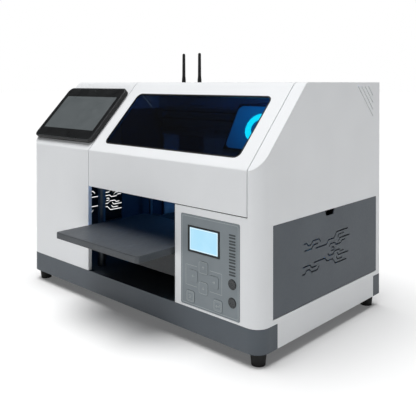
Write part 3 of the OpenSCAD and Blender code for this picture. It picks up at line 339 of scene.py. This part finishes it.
INKS = [printed_ink(f"{name}_ink_moulding", colour, shade) for name, colour, shade in (
    ("cyan", "#0b8ecb", "#0a7fb6"), ("magenta", "#c4187c", "#ab146c"),
    ("yellow", "#f0c81e", "#e0b917"), ("black", "#1c1d1f", "#151617"),
    ("white", "#eef0f1", "#e2e4e6"))]

FINISH = {
    WHITE_COAT: ["left_cover", "right_cover", "top_cover", "hood_shell"],
    GREY_COAT: ["base_tray", "right_door", "left_door"],
    REAR_COAT: ["rear_panel"],
    BLUE_COAT: ["partition"],
    BLACK_COAT: ["lift_tray", "stepper_motors", "bed_motor", "print_heads"],
    RUBBER: ["rubber_feet"],
    BELT: ["carriage_belt"],
    BLACK_ABS: ["finger_cups", "tablet_housing", "antenna_left_swivel", "antenna_left_rod",
                "antenna_right_swivel", "antenna_right_rod", "capping_station", "fan_frame",
                "fan_rotor", "power_inlet", "power_switch", "lcd_display"],
    COVER_ABS: ["carriage_cover"],
    FILM: ["control_panel", "key_up", "key_down", "key_left", "key_right", "key_menu", "key_enter"],
    BUTTON_ABS: ["button_start", "button_stop"],
    BOTTLE: ["ink_bottles"],
    BOARD: ["main_board"],
    STEEL_X: ["hinge_body_leaf", "hinge_hood_leaf", "hinge_pin", "carriage_rail", "power_supply"],
    STEEL_Y: ["bed_rails", "bed_blocks", "bed_screw"],
    STEEL_Z: ["guide_posts", "lift_screw_left", "lift_screw_right"],
    BRASS: ["antenna_connectors"],
    ALUMINIUM: ["gantry_frame", "carriage_plate", "uv_lamp", "drive_pulley", "idler_pulley"],
    BED_METAL: ["bed_plate"],
    ACRYLIC: ["hood_window"],
    COVER_GLASS: ["tablet_screen"],
    RING: ["ring_light"],
}

for material, names in FINISH.items():
    for name in names:
        NODES[name].data.materials.clear()
        NODES[name].data.materials.append(material)


# ---------------------------------------------------------------- modelling tools

def deselect_all():
    bpy.ops.object.select_all(action="DESELECT")


def added():
    """The primitive just added, with its place and size taken into its mesh."""
    bpy.ops.object.transform_apply(location=True, rotation=True, scale=True)
    return bpy.context.object


def edit(piece):
    """Edit mode on one piece, with nothing selected."""
    deselect_all()
    bpy.context.view_layer.objects.active = piece
    piece.select_set(True)
    bpy.ops.object.mode_set(mode="EDIT")
    bpy.ops.mesh.select_all(action="DESELECT")


def leave_edit():
    bpy.ops.object.mode_set(mode="OBJECT")


def select_faces(piece, wanted):
    """Selects the faces whose middle and normal pass the test."""
    bpy.ops.mesh.select_mode(type="FACE")
    mesh = bmesh.from_edit_mesh(piece.data)
    for face in mesh.faces:
        face.select_set(wanted(face.calc_center_median(), face.normal))
    bmesh.update_edit_mesh(piece.data)


def select_edges(piece, wanted):
    """Selects the edges whose two ends pass the test."""
    bpy.ops.mesh.select_mode(type="EDGE")
    mesh = bmesh.from_edit_mesh(piece.data)
    for edge in mesh.edges:
        edge.select_set(wanted(edge.verts[0].co, edge.verts[1].co))
    bmesh.update_edit_mesh(piece.data)


def is_upright(a, b):
    return (a - b).xy.length < TINY


def both_at(height):
    return lambda a, b: abs(a.z - height) < TINY and abs(b.z - height) < TINY


def rounded_plate(width, height, thick, radius, ease=0.0, segments=6):
    """A plate on the XY plane with round corners. ease rounds the rim of its upper face."""
    deselect_all()
    bpy.ops.mesh.primitive_cube_add(size=1, scale=(width, height, thick),
                                    location=(0, 0, thick / 2))
    plate = added()
    edit(plate)
    select_edges(plate, is_upright)
    bpy.ops.mesh.bevel(offset=radius, segments=segments, affect="EDGES")
    if ease:
        select_edges(plate, both_at(thick))
        bpy.ops.mesh.bevel(offset=ease, segments=2, affect="EDGES")
    leave_edit()
    return plate


def rounded_frame(width, height, thick, radius, band, ease=0.0):
    """A rounded plate with a like opening that leaves a band all round."""
    plate = rounded_plate(width, height, thick, radius, ease)
    edit(plate)
    select_faces(plate, lambda middle, normal: abs(normal.z) > 0.99 and middle.xy.length < TINY)
    bpy.ops.mesh.inset(thickness=band)
    bpy.ops.mesh.bridge_edge_loops()
    leave_edit()
    return plate


def turned_disc(radius, thick, ease, hollow=0.0, deep=0.0, count=24):
    """A disc along Z with an eased rim and, if wanted, a round recess in its upper face."""
    deselect_all()
    bpy.ops.mesh.primitive_cylinder_add(vertices=count, radius=radius, depth=thick,
                                        location=(0, 0, thick / 2))
    disc = added()
    edit(disc)
    select_edges(disc, both_at(thick))
    bpy.ops.mesh.bevel(offset=ease, segments=2, affect="EDGES")
    if hollow:
        select_faces(disc, lambda middle, normal: normal.z > 0.99 and abs(middle.z - thick) < TINY)
        bpy.ops.mesh.inset(thickness=radius - ease - hollow)
        bpy.ops.mesh.extrude_region_move(TRANSFORM_OT_translate={"value": (0, 0, -deep)})
    leave_edit()
    return disc


def wire_ring(radius, wire):
    """A ring of round wire in the XY plane; wire is the wire's own radius."""
    deselect_all()
    bpy.ops.mesh.primitive_torus_add(major_radius=radius, minor_radius=wire,
                                     major_segments=48, minor_segments=8)
    return added()


def stroke(start, end, width, thick):
    """A straight printed line on the XY plane with round ends."""
    start, end = Vector(start), Vector(end)
    length = (end - start).length + width
    line = rounded_plate(length, width, thick, 0.45 * width, segments=3)
    middle = (start + end) / 2
    angle = math.atan2(end.y - start.y, end.x - start.x)
    return moved(line, Matrix.Translation((middle.x, middle.y, 0)) @ Matrix.Rotation(angle, 4, "Z"))


def path(points, width, thick):
    """Straight strokes from each point to the next, in one piece."""
    return joined([stroke(a, b, width, thick) for a, b in zip(points, points[1:])])


def moved(piece, place):
    """Puts a piece in its place, and takes the place into its mesh."""
    deselect_all()
    bpy.context.view_layer.objects.active = piece
    piece.select_set(True)
    piece.matrix_world = place
    bpy.ops.object.transform_apply(location=True, rotation=True, scale=True)
    return piece


def copied(piece, place):
    """A copy with a mesh of its own, put in its place."""
    twin = piece.copy()
    twin.data = piece.data.copy()
    scene.collection.objects.link(twin)
    return moved(twin, place)


def joined(pieces):
    deselect_all()
    for piece in pieces:
        piece.select_set(True)
    bpy.context.view_layer.objects.active = pieces[0]
    if len(pieces) > 1:
        bpy.ops.object.join()
    return pieces[0]


def scattered(piece, places):
    """One object made of a copy of the piece at each place; the pattern piece is used up."""
    copies = [copied(piece, place) for place in places]
    bpy.data.objects.remove(piece)
    return joined(copies)


def finished(piece, name, material, body, smooth=35):
    """Names a piece, smooths its shallow edges, gives it its finish and lets it ride on a body."""
    deselect_all()
    bpy.context.view_layer.objects.active = piece
    piece.select_set(True)
    bpy.ops.object.shade_smooth_by_angle(angle=math.radians(smooth))
    piece.name = name
    piece.data.name = name
    piece.data.materials.clear()
    piece.data.materials.append(material)
    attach(piece, body)
    return piece


def centre_of(node):
    low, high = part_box(node)
    return (low + high) / 2


def on_front(x, z, out=0.0):
    """Place on the control panel's face: X across, Y up, Z out of the front."""
    return Matrix.Translation((x, PANEL_Y - out, z)) @ Matrix.Rotation(math.pi / 2, 4, "X")


def on_rear(x, z, out=0.0):
    """Place on the rear panel: X towards the left, Y up, Z out of the back."""
    turn = Matrix.Rotation(math.pi, 4, "Z") @ Matrix.Rotation(math.pi / 2, 4, "X")
    return Matrix.Translation((x, REAR_Y + out, z)) @ turn


def on_tilt(point, angle, out=0.0):
    """Place at a point on a face that leans back by angle: Y up the face, Z out of it."""
    turn = Matrix.Rotation(angle, 4, "X")
    return Matrix.Translation(point + turn @ Vector((0, 0, out))) @ turn


# ---------------------------------------------------------------- hood and carriage

def fit_window_gasket():
    """Black rubber edging that covers the cut edge of the window opening."""
    low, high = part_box("hood_window")
    reach = Vector((0, high.y - low.y, high.z - low.z)).length
    hidden = 12 * MM                   # how much larger the pane is than the opening
    pane = 3 * MM                      # the pane's thickness
    width = high.x - low.x - hidden
    height = (reach ** 2 - pane ** 2) ** 0.5 - hidden
    lap, proud = 1.2 * MM, 0.5 * MM    # past the cut edge, and out of the sheet
    radius, band, ease = 15.6 * MM, 2.6 * MM, 0.3 * MM
    edging = rounded_frame(width + lap, height + lap, SKIN + proud, radius, band, ease)
    place = on_tilt(centre_of("hood_window"), SLOPE, pane / 2)
    finished(moved(edging, place), "window_gasket", RUBBER, "hood")


def fit_carriage_painted_glow():
    """A sheet on the carriage's face, behind the lit ring, whose emission is painted light: the
    ring's blue glow falling on the face.
    """
    low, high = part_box("carriage_cover")
    ring = centre_of("ring_light")
    middle = Vector(((low.x + high.x) / 2, ring.y, ring.z))
    half_ring, overlap = 2.25 * MM, 0.05 * MM
    width, height, thick = high.x - low.x - 8 * MM, 106 * MM, 1.4 * MM
    sheet = rounded_plate(width, height, thick, 14 * MM, 0.4 * MM)
    place = on_tilt(middle, CARRIAGE_SLOPE, -half_ring + overlap)
    # painted light: the painted blue glow is brightest round this point
    lit_from = ring + Vector((0, 18 * MM, 31 * MM))     # up the slope from the ring
    glow = painted_ring_glow("painted_blue_ring_glow", lit_from, "#0aa0f0", "#0690dc", "#1f4f7c", 1.7)
    finished(moved(sheet, place), "carriage_painted_glow", glow, "carriage")


def fit_belt_teeth():
    """Teeth inside both straight runs of the carriage belt, at a 5 mm pitch."""
    low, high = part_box("carriage_belt")
    pitch, pulley_room = 5 * MM, 14 * MM
    count = int((high.x - low.x - 2 * pulley_room) / pitch)
    belt_w, belt_t = 8 * MM, 1.5 * MM
    belt_in = 2 * MM      # the idler's shaft, in the same node, starts this far before the belt
    size = (2.2 * MM, belt_w - 1 * MM, belt_t)
    drop = 10.05 * MM     # from the pulley's axis to the belt's inner face
    middle_y, middle_z = low.y + belt_w / 2 + belt_in, (low.z + high.z) / 2
    runs = []
    for side in (-1, 1):
        deselect_all()
        bpy.ops.mesh.primitive_cube_add(size=1, scale=size, location=(
            low.x + pulley_room, middle_y, middle_z + side * (drop - belt_t * 0.35)))
        tooth = added()
        edit(tooth)
        select_edges(tooth, lambda a, b: abs(a.x - b.x) < TINY and abs(a.z - b.z) < TINY)
        bpy.ops.mesh.bevel(offset=0.5 * MM, segments=2, affect="EDGES")
        leave_edit()
        row = tooth.modifiers.new("row", "ARRAY")
        row.count = count
        row.use_relative_offset = False
        row.use_constant_offset = True
        row.constant_offset_displace = (pitch, 0, 0)
        bpy.ops.object.modifier_apply(modifier="row")
        runs.append(tooth)
    finished(joined(runs), "belt_teeth", BELT, "casing")


# ---------------------------------------------------------------- lead screws

def threaded_rod(radius, length, lead, starts=4):
    """A rod along Z with several threads: a rod with grooves along it, wound up by a twist."""
    per_start, per_turn = 8, 22     # sides of the rod to a thread, and cuts to a turn
    root = 0.89                     # how far out a groove's floor is, as a share of the radius
    count = starts * per_start
    turns = length / lead
    deselect_all()
    bpy.ops.mesh.primitive_cylinder_add(vertices=count, radius=radius, depth=length)
    rod = added()
    edit(rod)
    bpy.ops.mesh.select_mode(type="VERT")
    mesh = bmesh.from_edit_mesh(rod.data)
    for vertex in mesh.verts:
        step = round(math.atan2(vertex.co.y, vertex.co.x) / (2 * math.pi) * count) % per_start
        vertex.select_set(step in (0, 1, 2))
    bmesh.update_edit_mesh(rod.data)
    bpy.ops.transform.resize(value=(root, root, 1), center_override=(0, 0, 0))
    select_edges(rod, is_upright)
    bpy.ops.mesh.subdivide(number_cuts=int(turns * per_turn))
    leave_edit()
    wind = rod.modifiers.new("wind", "SIMPLE_DEFORM")
    wind.deform_method = "TWIST"
    wind.deform_axis = "Z"
    wind.angle = turns * 2 * math.pi
    bpy.ops.object.modifier_apply(modifier="wind")
    return rod


def fit_screw_thread(node, lead, along):
    """A threaded rod with plain journals in place of a lead screw's plain rod. It lies along
    axis number along: 1 is Y and 2 is Z."""
    low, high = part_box(node)
    middle = (low + high) / 2
    radius = (high.x - low.x) / 2
    whole = (high - low)[along]
    journal_r = radius - 2 * MM
    ends = 9 * MM
    rod = threaded_rod(radius, whole - 2 * ends, lead)
    deselect_all()
    bpy.ops.mesh.primitive_cylinder_add(vertices=24, radius=journal_r, depth=whole)
    journal = added()
    edit(journal)
    select_edges(journal, lambda a, b: abs(a.z - b.z) < TINY)
    bpy.ops.mesh.bevel(offset=0.5 * MM, segments=1, affect="EDGES")
    leave_edit()
    turn = Matrix.Rotation(-math.pi / 2, 4, "X") if along == 1 else Matrix.Identity(4)
    screw = moved(joined([rod, journal]), Matrix.Translation(middle) @ turn)
    metal = STEEL_Y if along == 1 else STEEL_Z
    finished(screw, node + "_thread", metal, node, 50)
    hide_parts(node)


# ---------------------------------------------------------------- control panel

def fit_lcd():
    """The lit display behind its black surround, with the paler margin of its viewing area."""
    low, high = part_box("lcd_display")
    sides, ends = 2 * 5.3 * MM, 2 * 3.7 * MM     # what the surround takes across and up
    glass_t, set_in = 0.5 * MM, 1 * MM
    width, height = high.x - low.x - sides, high.z - low.z - ends
    place = on_front((low.x + high.x) / 2, (low.z + high.z) / 2, -glass_t)
    glass = moved(rounded_plate(width, height, glass_t, 0.8 * MM, 0.15 * MM), place)
    finished(glass, "lcd_glass", LCD, "casing")
    margin = rounded_frame(width - set_in, height - set_in, 0.56 * MM, 0.6 * MM, 1.6 * MM)
    bright = lit_diffuser("backlit_display_margin", "#e4f7ff", "#def4fe", 1.0, 30)
    finished(moved(margin, place), "lcd_margin", bright, "casing")


INK_T = 0.14 * MM      # a printed line stands this proud of the film
LINE_W = 0.9 * MM


def chevron(tip, wing, back):
    """An arrow head: two strokes that meet at the tip, pointing along tip's direction."""
    side = Vector((-tip[1], tip[0])).normalized() * wing
    away = -Vector(tip).normalized() * back
    tip = Vector(tip)
    return path([tip + away + side, tip, tip + away - side], LINE_W, INK_T)


def key_symbol(name):
    """What is printed on a key, round its middle."""
    arrows = {"key_up": (0, 3), "key_down": (0, -3), "key_left": (-3, 0), "key_right": (3, 0)}
    if name in arrows:
        tip = Vector(arrows[name]) * MM
        stem = stroke(tip, -tip, LINE_W, INK_T)
        return [chevron(tip, 2.6 * MM, 2.6 * MM), stem]
    if name == "key_menu":
        return [stroke((-4 * MM, y * MM), (4 * MM, y * MM), LINE_W, INK_T) for y in (-3, 0, 3)]
    right, low = 4.5 * MM, -1 * MM
    head = Matrix.Translation((-1.6 * MM, low, 0))
    return [path([(right, 4 * MM), (right, low), (-4 * MM, low)], LINE_W, INK_T),
            moved(chevron((-3 * MM, 0), 2.4 * MM, 2.4 * MM), head)]


def square_outline(side, radius, width):
    return rounded_frame(side, side, INK_T, radius, width)


def print_keys():
    """Outline and symbol on each key. The left and right keys have no outline of their own:
    the bracket printed on the panel frames them."""
    for name in ("key_up", "key_down", "key_left", "key_right", "key_menu", "key_enter"):
        low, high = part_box(name)
        side = high.x - low.x
        marks = key_symbol(name)
        if name in ("key_up", "key_down"):
            marks.append(square_outline(side - 0.8 * MM, 4.4 * MM, LINE_W))
        elif name in ("key_menu", "key_enter"):
            marks.append(square_outline(side - 4 * MM, 4.4 * MM, LINE_W))
            marks.append(square_outline(side - 9.5 * MM, 2.4 * MM, 0.6 * LINE_W))
        middle = (low + high) / 2
        legend = moved(joined(marks), on_front(middle.x, middle.z, PANEL_Y - low.y))
        finished(legend, name + "_print", WHITE_INK, name)


def print_panel():
    """Border line and the bracket round the arrow keys."""
    low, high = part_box("control_panel")
    up = centre_of("key_up")
    left, right = centre_of("key_left"), centre_of("key_right")
    # half the bracket's width and height, and how far from the middle its open ends stop
    half, rise, gap = 50.8 * MM, 21.2 * MM, 18.3 * MM
    brackets = []
    for side, key in ((-1, left), (1, right)):
        outer, inner = up.x + side * half, up.x + side * gap
        brackets.append(path([(inner, key.z + rise), (outer, key.z + rise),
                              (outer, key.z - rise), (inner, key.z - rise)], LINE_W, INK_T))
    brackets = moved(joined(brackets), on_front(0, 0))
    # the film's outline stops short of the flange behind it, which is 3.5 mm larger all round
    flange, inset = 3.5 * MM, 3.4 * MM
    width = high.x - low.x - 2 * (flange + inset)
    height = high.z - low.z - 2 * (flange + inset)
    border = rounded_frame(width, height, INK_T, 4 * MM, 0.8 * MM)
    border = moved(border, on_front((low.x + high.x) / 2, (low.z + high.z) / 2))
    finished(joined([border, brackets]), "panel_lines", WHITE_INK, "casing")


def print_bars():
    """Seven plain marks of two bars each, one above the other beside the display."""
    column = centre_of("button_start").x
    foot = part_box("button_start")[1].z + 9 * MM
    count, pitch, apart = 7, 12.2 * MM, 5.4 * MM
    half, width = 6.8 * MM, 3.4 * MM
    marks = []
    for i in range(count):
        for rise in (0, apart):
            z = foot + i * pitch + rise
            marks.append(stroke((column - half, z), (column + half, z), width, INK_T))
    finished(moved(joined(marks), on_front(0, 0)), "panel_bars", DARK_INK, "casing")


def print_buttons():
    """A triangle for start and a square for stop, in the dish of each round button."""
    mark_ink = printed_ink("sage_pad_ink", "#7f8f86", "#75857c")
    dish, thick = 1.5 * MM, 0.5 * MM
    top, tip, foot = (-2.6 * MM, 3.6 * MM), (3.8 * MM, 0), (-2.6 * MM, -3.6 * MM)
    triangle = path([top, tip, foot, top], LINE_W, thick)
    square = rounded_frame(7 * MM, 7 * MM, thick, 1 * MM, LINE_W)
    for name, symbol in (("button_start", triangle), ("button_stop", square)):
        middle = centre_of(name)
        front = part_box(name)[0].y
        place = on_front(middle.x, middle.z, PANEL_Y - front - dish)
        finished(moved(symbol, place), name + "_print", mark_ink, name)


def fit_button_rings():
    """Charcoal bezel ring round each round button, flattened to 0.6 of a round wire."""
    outside, wire, flat = 0.9 * MM, 0.7 * MM, 0.6
    for name in ("button_start", "button_stop"):
        low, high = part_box(name)
        radius = (high.x - low.x) / 2
        ring = wire_ring(radius + outside, wire)
        edit(ring)
        bpy.ops.mesh.select_all(action="SELECT")
        bpy.ops.transform.resize(value=(1, 1, flat))
        leave_edit()
        place = on_front((low.x + high.x) / 2, (low.z + high.z) / 2, 0.1 * MM)
        finished(moved(ring, place), name + "_bezel", BUTTON_ABS, "casing")


# ---------------------------------------------------------------- tablet

def fit_tablet():
    """The display area under the cover glass, a grey frame round the glass that is a painted
    highlight, and the lens.
    """
    low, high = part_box("tablet_screen")
    face = 0.8 * MM                        # from the glass's middle to its face
    sides, ends = 30 * MM, 60 * MM         # what the display's margins take across and up
    lens_down = 9 * MM                     # from the glass's upper edge to the lens's middle
    reach = Vector((0, high.y - low.y, high.z - low.z)).length
    width = high.x - low.x
    height = (reach ** 2 - (2 * face) ** 2) ** 0.5
    middle = centre_of("tablet_screen")
    up = Vector((0, math.cos(SLOPE), math.sin(SLOPE)))
    display = rounded_plate(width - sides, height - ends, 0.16 * MM, 1 * MM, 0.05 * MM)
    place = on_tilt(middle, SLOPE, face)
    finished(moved(display, place), "tablet_display", DARK_DISPLAY, "casing", smooth=20)
    lap = 0.6 * MM
    # painted highlight: a grey frame round the glass that stands in for the light along its eased
    # edge
    rim = rounded_frame(width + lap, height + lap, 0.9 * MM, 13 * MM, 1.1 * MM, 0.3 * MM)
    highlight_grey = moulded_plastic("painted_rim_highlight", "#4a4d50", "#434648", 0.25, 2.0, 0.01)
    place = on_tilt(middle, SLOPE, face - 0.4 * MM)
    finished(moved(rim, place), "tablet_rim_painted_highlight", highlight_grey, "casing")
    lens = turned_disc(2.6 * MM, 0.5 * MM, 0.15 * MM, hollow=1.4 * MM, deep=0.2 * MM)
    place = on_tilt(middle + up * (height / 2 - lens_down), SLOPE, face - 0.1 * MM)
    finished(moved(lens, place), "tablet_camera", BUTTON_ABS, "casing")


def fit_tablet_buttons():
    """Power and volume buttons on the tablet's upper edge."""
    middle = centre_of("tablet_screen")
    up = Vector((0, math.cos(SLOPE), math.sin(SLOPE)))
    half, sunk = 90 * MM, 0.3 * MM     # half the tablet's height; into its edge
    back = 4.5 * MM                    # behind the middle of the glass
    buttons = []
    for across, length in ((70 * MM, 12 * MM), (92 * MM, 22 * MM)):
        button = rounded_plate(length, 3 * MM, 1 * MM, 1.4 * MM, 0.3 * MM)
        point = middle + up * (half - sunk) + Vector((across, 0, 0))
        face = on_tilt(point, SLOPE, -back) @ Matrix.Rotation(-math.pi / 2, 4, "X")
        buttons.append(moved(button, face))
    finished(joined(buttons), "tablet_side_buttons", BUTTON_ABS, "casing")


# ---------------------------------------------------------------- rear

def socket_screw(radius):
    """Button-head screw with a round-cornered socket."""
    return turned_disc(radius, 0.5 * radius, 0.28 * radius, 0.4 * radius, 0.3 * radius)


def fit_rear_screws():
    """Button-head screws round the rear panel and at the fan's corners."""
    low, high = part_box("rear_panel")
    margin, head_r = 9 * MM, 3.2 * MM
    columns, rows = 5, 3
    spots = []
    for i in range(columns):
        x = low.x + margin + i * (high.x - low.x - 2 * margin) / (columns - 1)
        spots += [(x, low.z + margin), (x, high.z - margin)]
    for j in range(1, rows):
        z = low.z + margin + j * (high.z - low.z - 2 * margin) / rows
        spots += [(low.x + margin, z), (high.x - margin, z)]
    fan = centre_of("fan_frame")
    corner = 35.5 * MM     # half the square that the fan's screws stand on
    spots += [(fan.x + a * corner, fan.z + b * corner) for a in (-1, 1) for b in (-1, 1)]
    heads = scattered(socket_screw(head_r), [on_rear(x, z) for x, z in spots])
    finished(heads, "rear_screws", TURNED_STEEL, "casing")


def fit_fan_guard():
    """Wire guard over the fan: four rings on four spokes."""
    fan = centre_of("fan_frame")
    wire, reach, middle = 0.9 * MM, 31 * MM, 25 * MM     # a spoke's length, and how far out it is
    rings = [wire_ring(r * MM, wire) for r in (9, 18, 27, 36)]
    spokes = []
    for i in range(4):
        spoke = rounded_plate(reach, 2 * wire, 2 * wire, 0.8 * wire, 0.3 * wire)
        turn = Matrix.Rotation(math.radians(45 + 90 * i), 4, "Z")
        spokes.append(moved(spoke, turn @ Matrix.Translation((middle, 0, -2.6 * wire))))
    guard = moved(joined(rings + spokes), on_rear(fan.x, fan.z, 3 * wire))
    finished(guard, "fan_guard", TURNED_STEEL, "casing")


def fit_ports():
    """Plated shells in the three data sockets beside the switch, each with its contact tongue."""
    switch = centre_of("power_switch")
    first, pitch, depth = 34 * MM, 24 * MM, 10.4 * MM
    for i in range(3):
        shell = rounded_frame(15.6 * MM, 11.6 * MM, 11 * MM, 0.8 * MM, 0.8 * MM, 0.2 * MM)
        tongue = rounded_plate(9 * MM, 2 * MM, 8 * MM, 0.4 * MM, 0.2 * MM)
        back = rounded_plate(15 * MM, 11 * MM, 1 * MM, 0.6 * MM)
        place = on_rear(switch.x + first + i * pitch, switch.z, -depth)
        port = moved(joined([shell, tongue, back]), place)
        finished(port, f"data_port_{i + 1}", TURNED_STEEL, "casing")


def fit_louvre_hoods():
    """Pressed lip over each exhaust slot, so that the slots shed dust."""
    top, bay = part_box("top_cover")[1].z, centre_of("bed_plate").x
    across, up, down = 34 * MM, 12 * MM, 180 * MM     # pitches, and the lowest row's middle
    over = 3.2 * MM                                   # from a slot's middle to its lip's
    lip = rounded_plate(27 * MM, 2.2 * MM, 1.2 * MM, 1 * MM, 0.5 * MM)
    places = [on_rear(bay + (i - 3) * across, top - down + j * up + over, -0.1 * MM)
              for i in range(7) for j in range(8)]
    finished(scattered(lip, places), "louvre_lips", REAR_COAT, "casing")


# ---------------------------------------------------------------- ink and painted shade

def fit_ink_caps():
    """A ribbed screw cap in each ink's colour, and a sleeve round each bottle."""
    low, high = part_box("ink_bottles")
    radius = (high.x - low.x) / 2
    pitch = (high.y - low.y - 2 * radius) / 4
    cap_r, cap_h, ribs, groove = 12.6 * MM, 18.4 * MM, 24, 0.965
    sleeve_h, sleeve_t, sleeve_up = 46 * MM, 0.25 * MM, 14 * MM
    for i, ink in enumerate(INKS):
        y = low.y + radius + i * pitch
        deselect_all()
        bpy.ops.mesh.primitive_cylinder_add(vertices=2 * ribs, radius=cap_r, depth=cap_h)
        cap = added()
        edit(cap)
        select_edges(cap, both_at(cap_h / 2))
        bpy.ops.mesh.bevel(offset=1 * MM, segments=3, affect="EDGES")
        select_faces(cap, lambda middle, normal: abs(normal.z) < 0.1 and round(
            math.atan2(middle.y, middle.x) / math.pi * ribs - 0.5) % 2 == 0)
        bpy.ops.mesh.inset(thickness=0.12 * MM, use_individual=True)
        bpy.ops.transform.resize(value=(groove, groove, 1), center_override=(0, 0, 0))
        leave_edit()
        place = Matrix.Translation((low.x + radius, y, high.z - cap_h / 2 + 0.2 * MM))
        finished(moved(cap, place), f"ink_cap_{i + 1}", ink, "casing")
        sleeve = turned_disc(radius + sleeve_t, sleeve_h, 0.2 * MM, count=48)
        place = Matrix.Translation((low.x + radius, y, low.z + sleeve_up))
        finished(moved(sleeve, place), f"ink_sleeve_{i + 1}", ink, "casing")


def fit_painted_shade():
    """A black sheet behind the slots in the right side, and a black strip in the seam
    under the hood's lower edge, over the front column. Both are painted shade: dark pieces put
    where there is shade."""
    # painted shade: a near-black finish for pieces that stand in for shade
    shade_finish = moulded_rubber("painted_shade_black_sheet", "#08090a", "#0c0d0e")
    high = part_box("right_cover")[1]
    side, thick, gap = 200 * MM, 1.5 * MM, 0.1 * MM
    from_back, from_top = 110 * MM, 112 * MM
    # painted shade: a black sheet that darkens the right side's slots
    shade_plate = rounded_plate(side, side, thick, 4 * MM, 0.3 * MM)
    upright = Matrix.Rotation(math.pi / 2, 4, "Y")
    x = high.x - SKIN - thick / 2 - gap
    place = Matrix.Translation((x, high.y - from_back, high.z - from_top))
    finished(moved(shade_plate, place @ upright), "right_side_painted_shade", shade_finish, "casing")
    hood_low, hood_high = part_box("hood_shell")
    start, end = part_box("control_panel")[0].x - 16 * MM, hood_high.x
    # painted shade: a black strip that darkens the seam under the hood, where a shadow line falls
    strip = rounded_plate(end - start, 1.7 * MM, 0.8 * MM, 0.5 * MM, 0.1 * MM)
    lean = Matrix.Rotation(math.pi / 2, 4, "X")
    back, below = 2.4 * MM, 1 * MM
    place = Matrix.Translation(((start + end) / 2, FRONT_Y + back, hood_low.z - below))
    finished(moved(strip, place @ lean), "hood_seam_painted_shade", shade_finish, "casing")


fit_window_gasket()
fit_carriage_painted_glow()
fit_belt_teeth()
fit_screw_thread("bed_screw", 20 * MM, 1)
fit_screw_thread("lift_screw_left", 10 * MM, 2)
fit_screw_thread("lift_screw_right", 10 * MM, 2)
fit_lcd()
print_keys()
print_panel()
print_bars()
print_buttons()
fit_button_rings()
fit_tablet()
fit_tablet_buttons()
fit_rear_screws()
fit_fan_guard()
fit_ports()
fit_louvre_hoods()
fit_ink_caps()
fit_painted_shade()


# ---------------------------------------------------------------- floor

def lay_floor():
    """Pale studio floor that runs far past the machine on every side."""
    deselect_all()
    bpy.ops.mesh.primitive_plane_add(size=60)
    floor = added()
    floor.name = "floor"
    material, _, _ = new_material("pale_studio_floor", "#ececec", 0.9, Specular_IOR_Level=0.0,
                                  Emission_Color=(1, 1, 1, 1), Emission_Strength=0.12)
    floor.data.materials.append(material)


lay_floor()
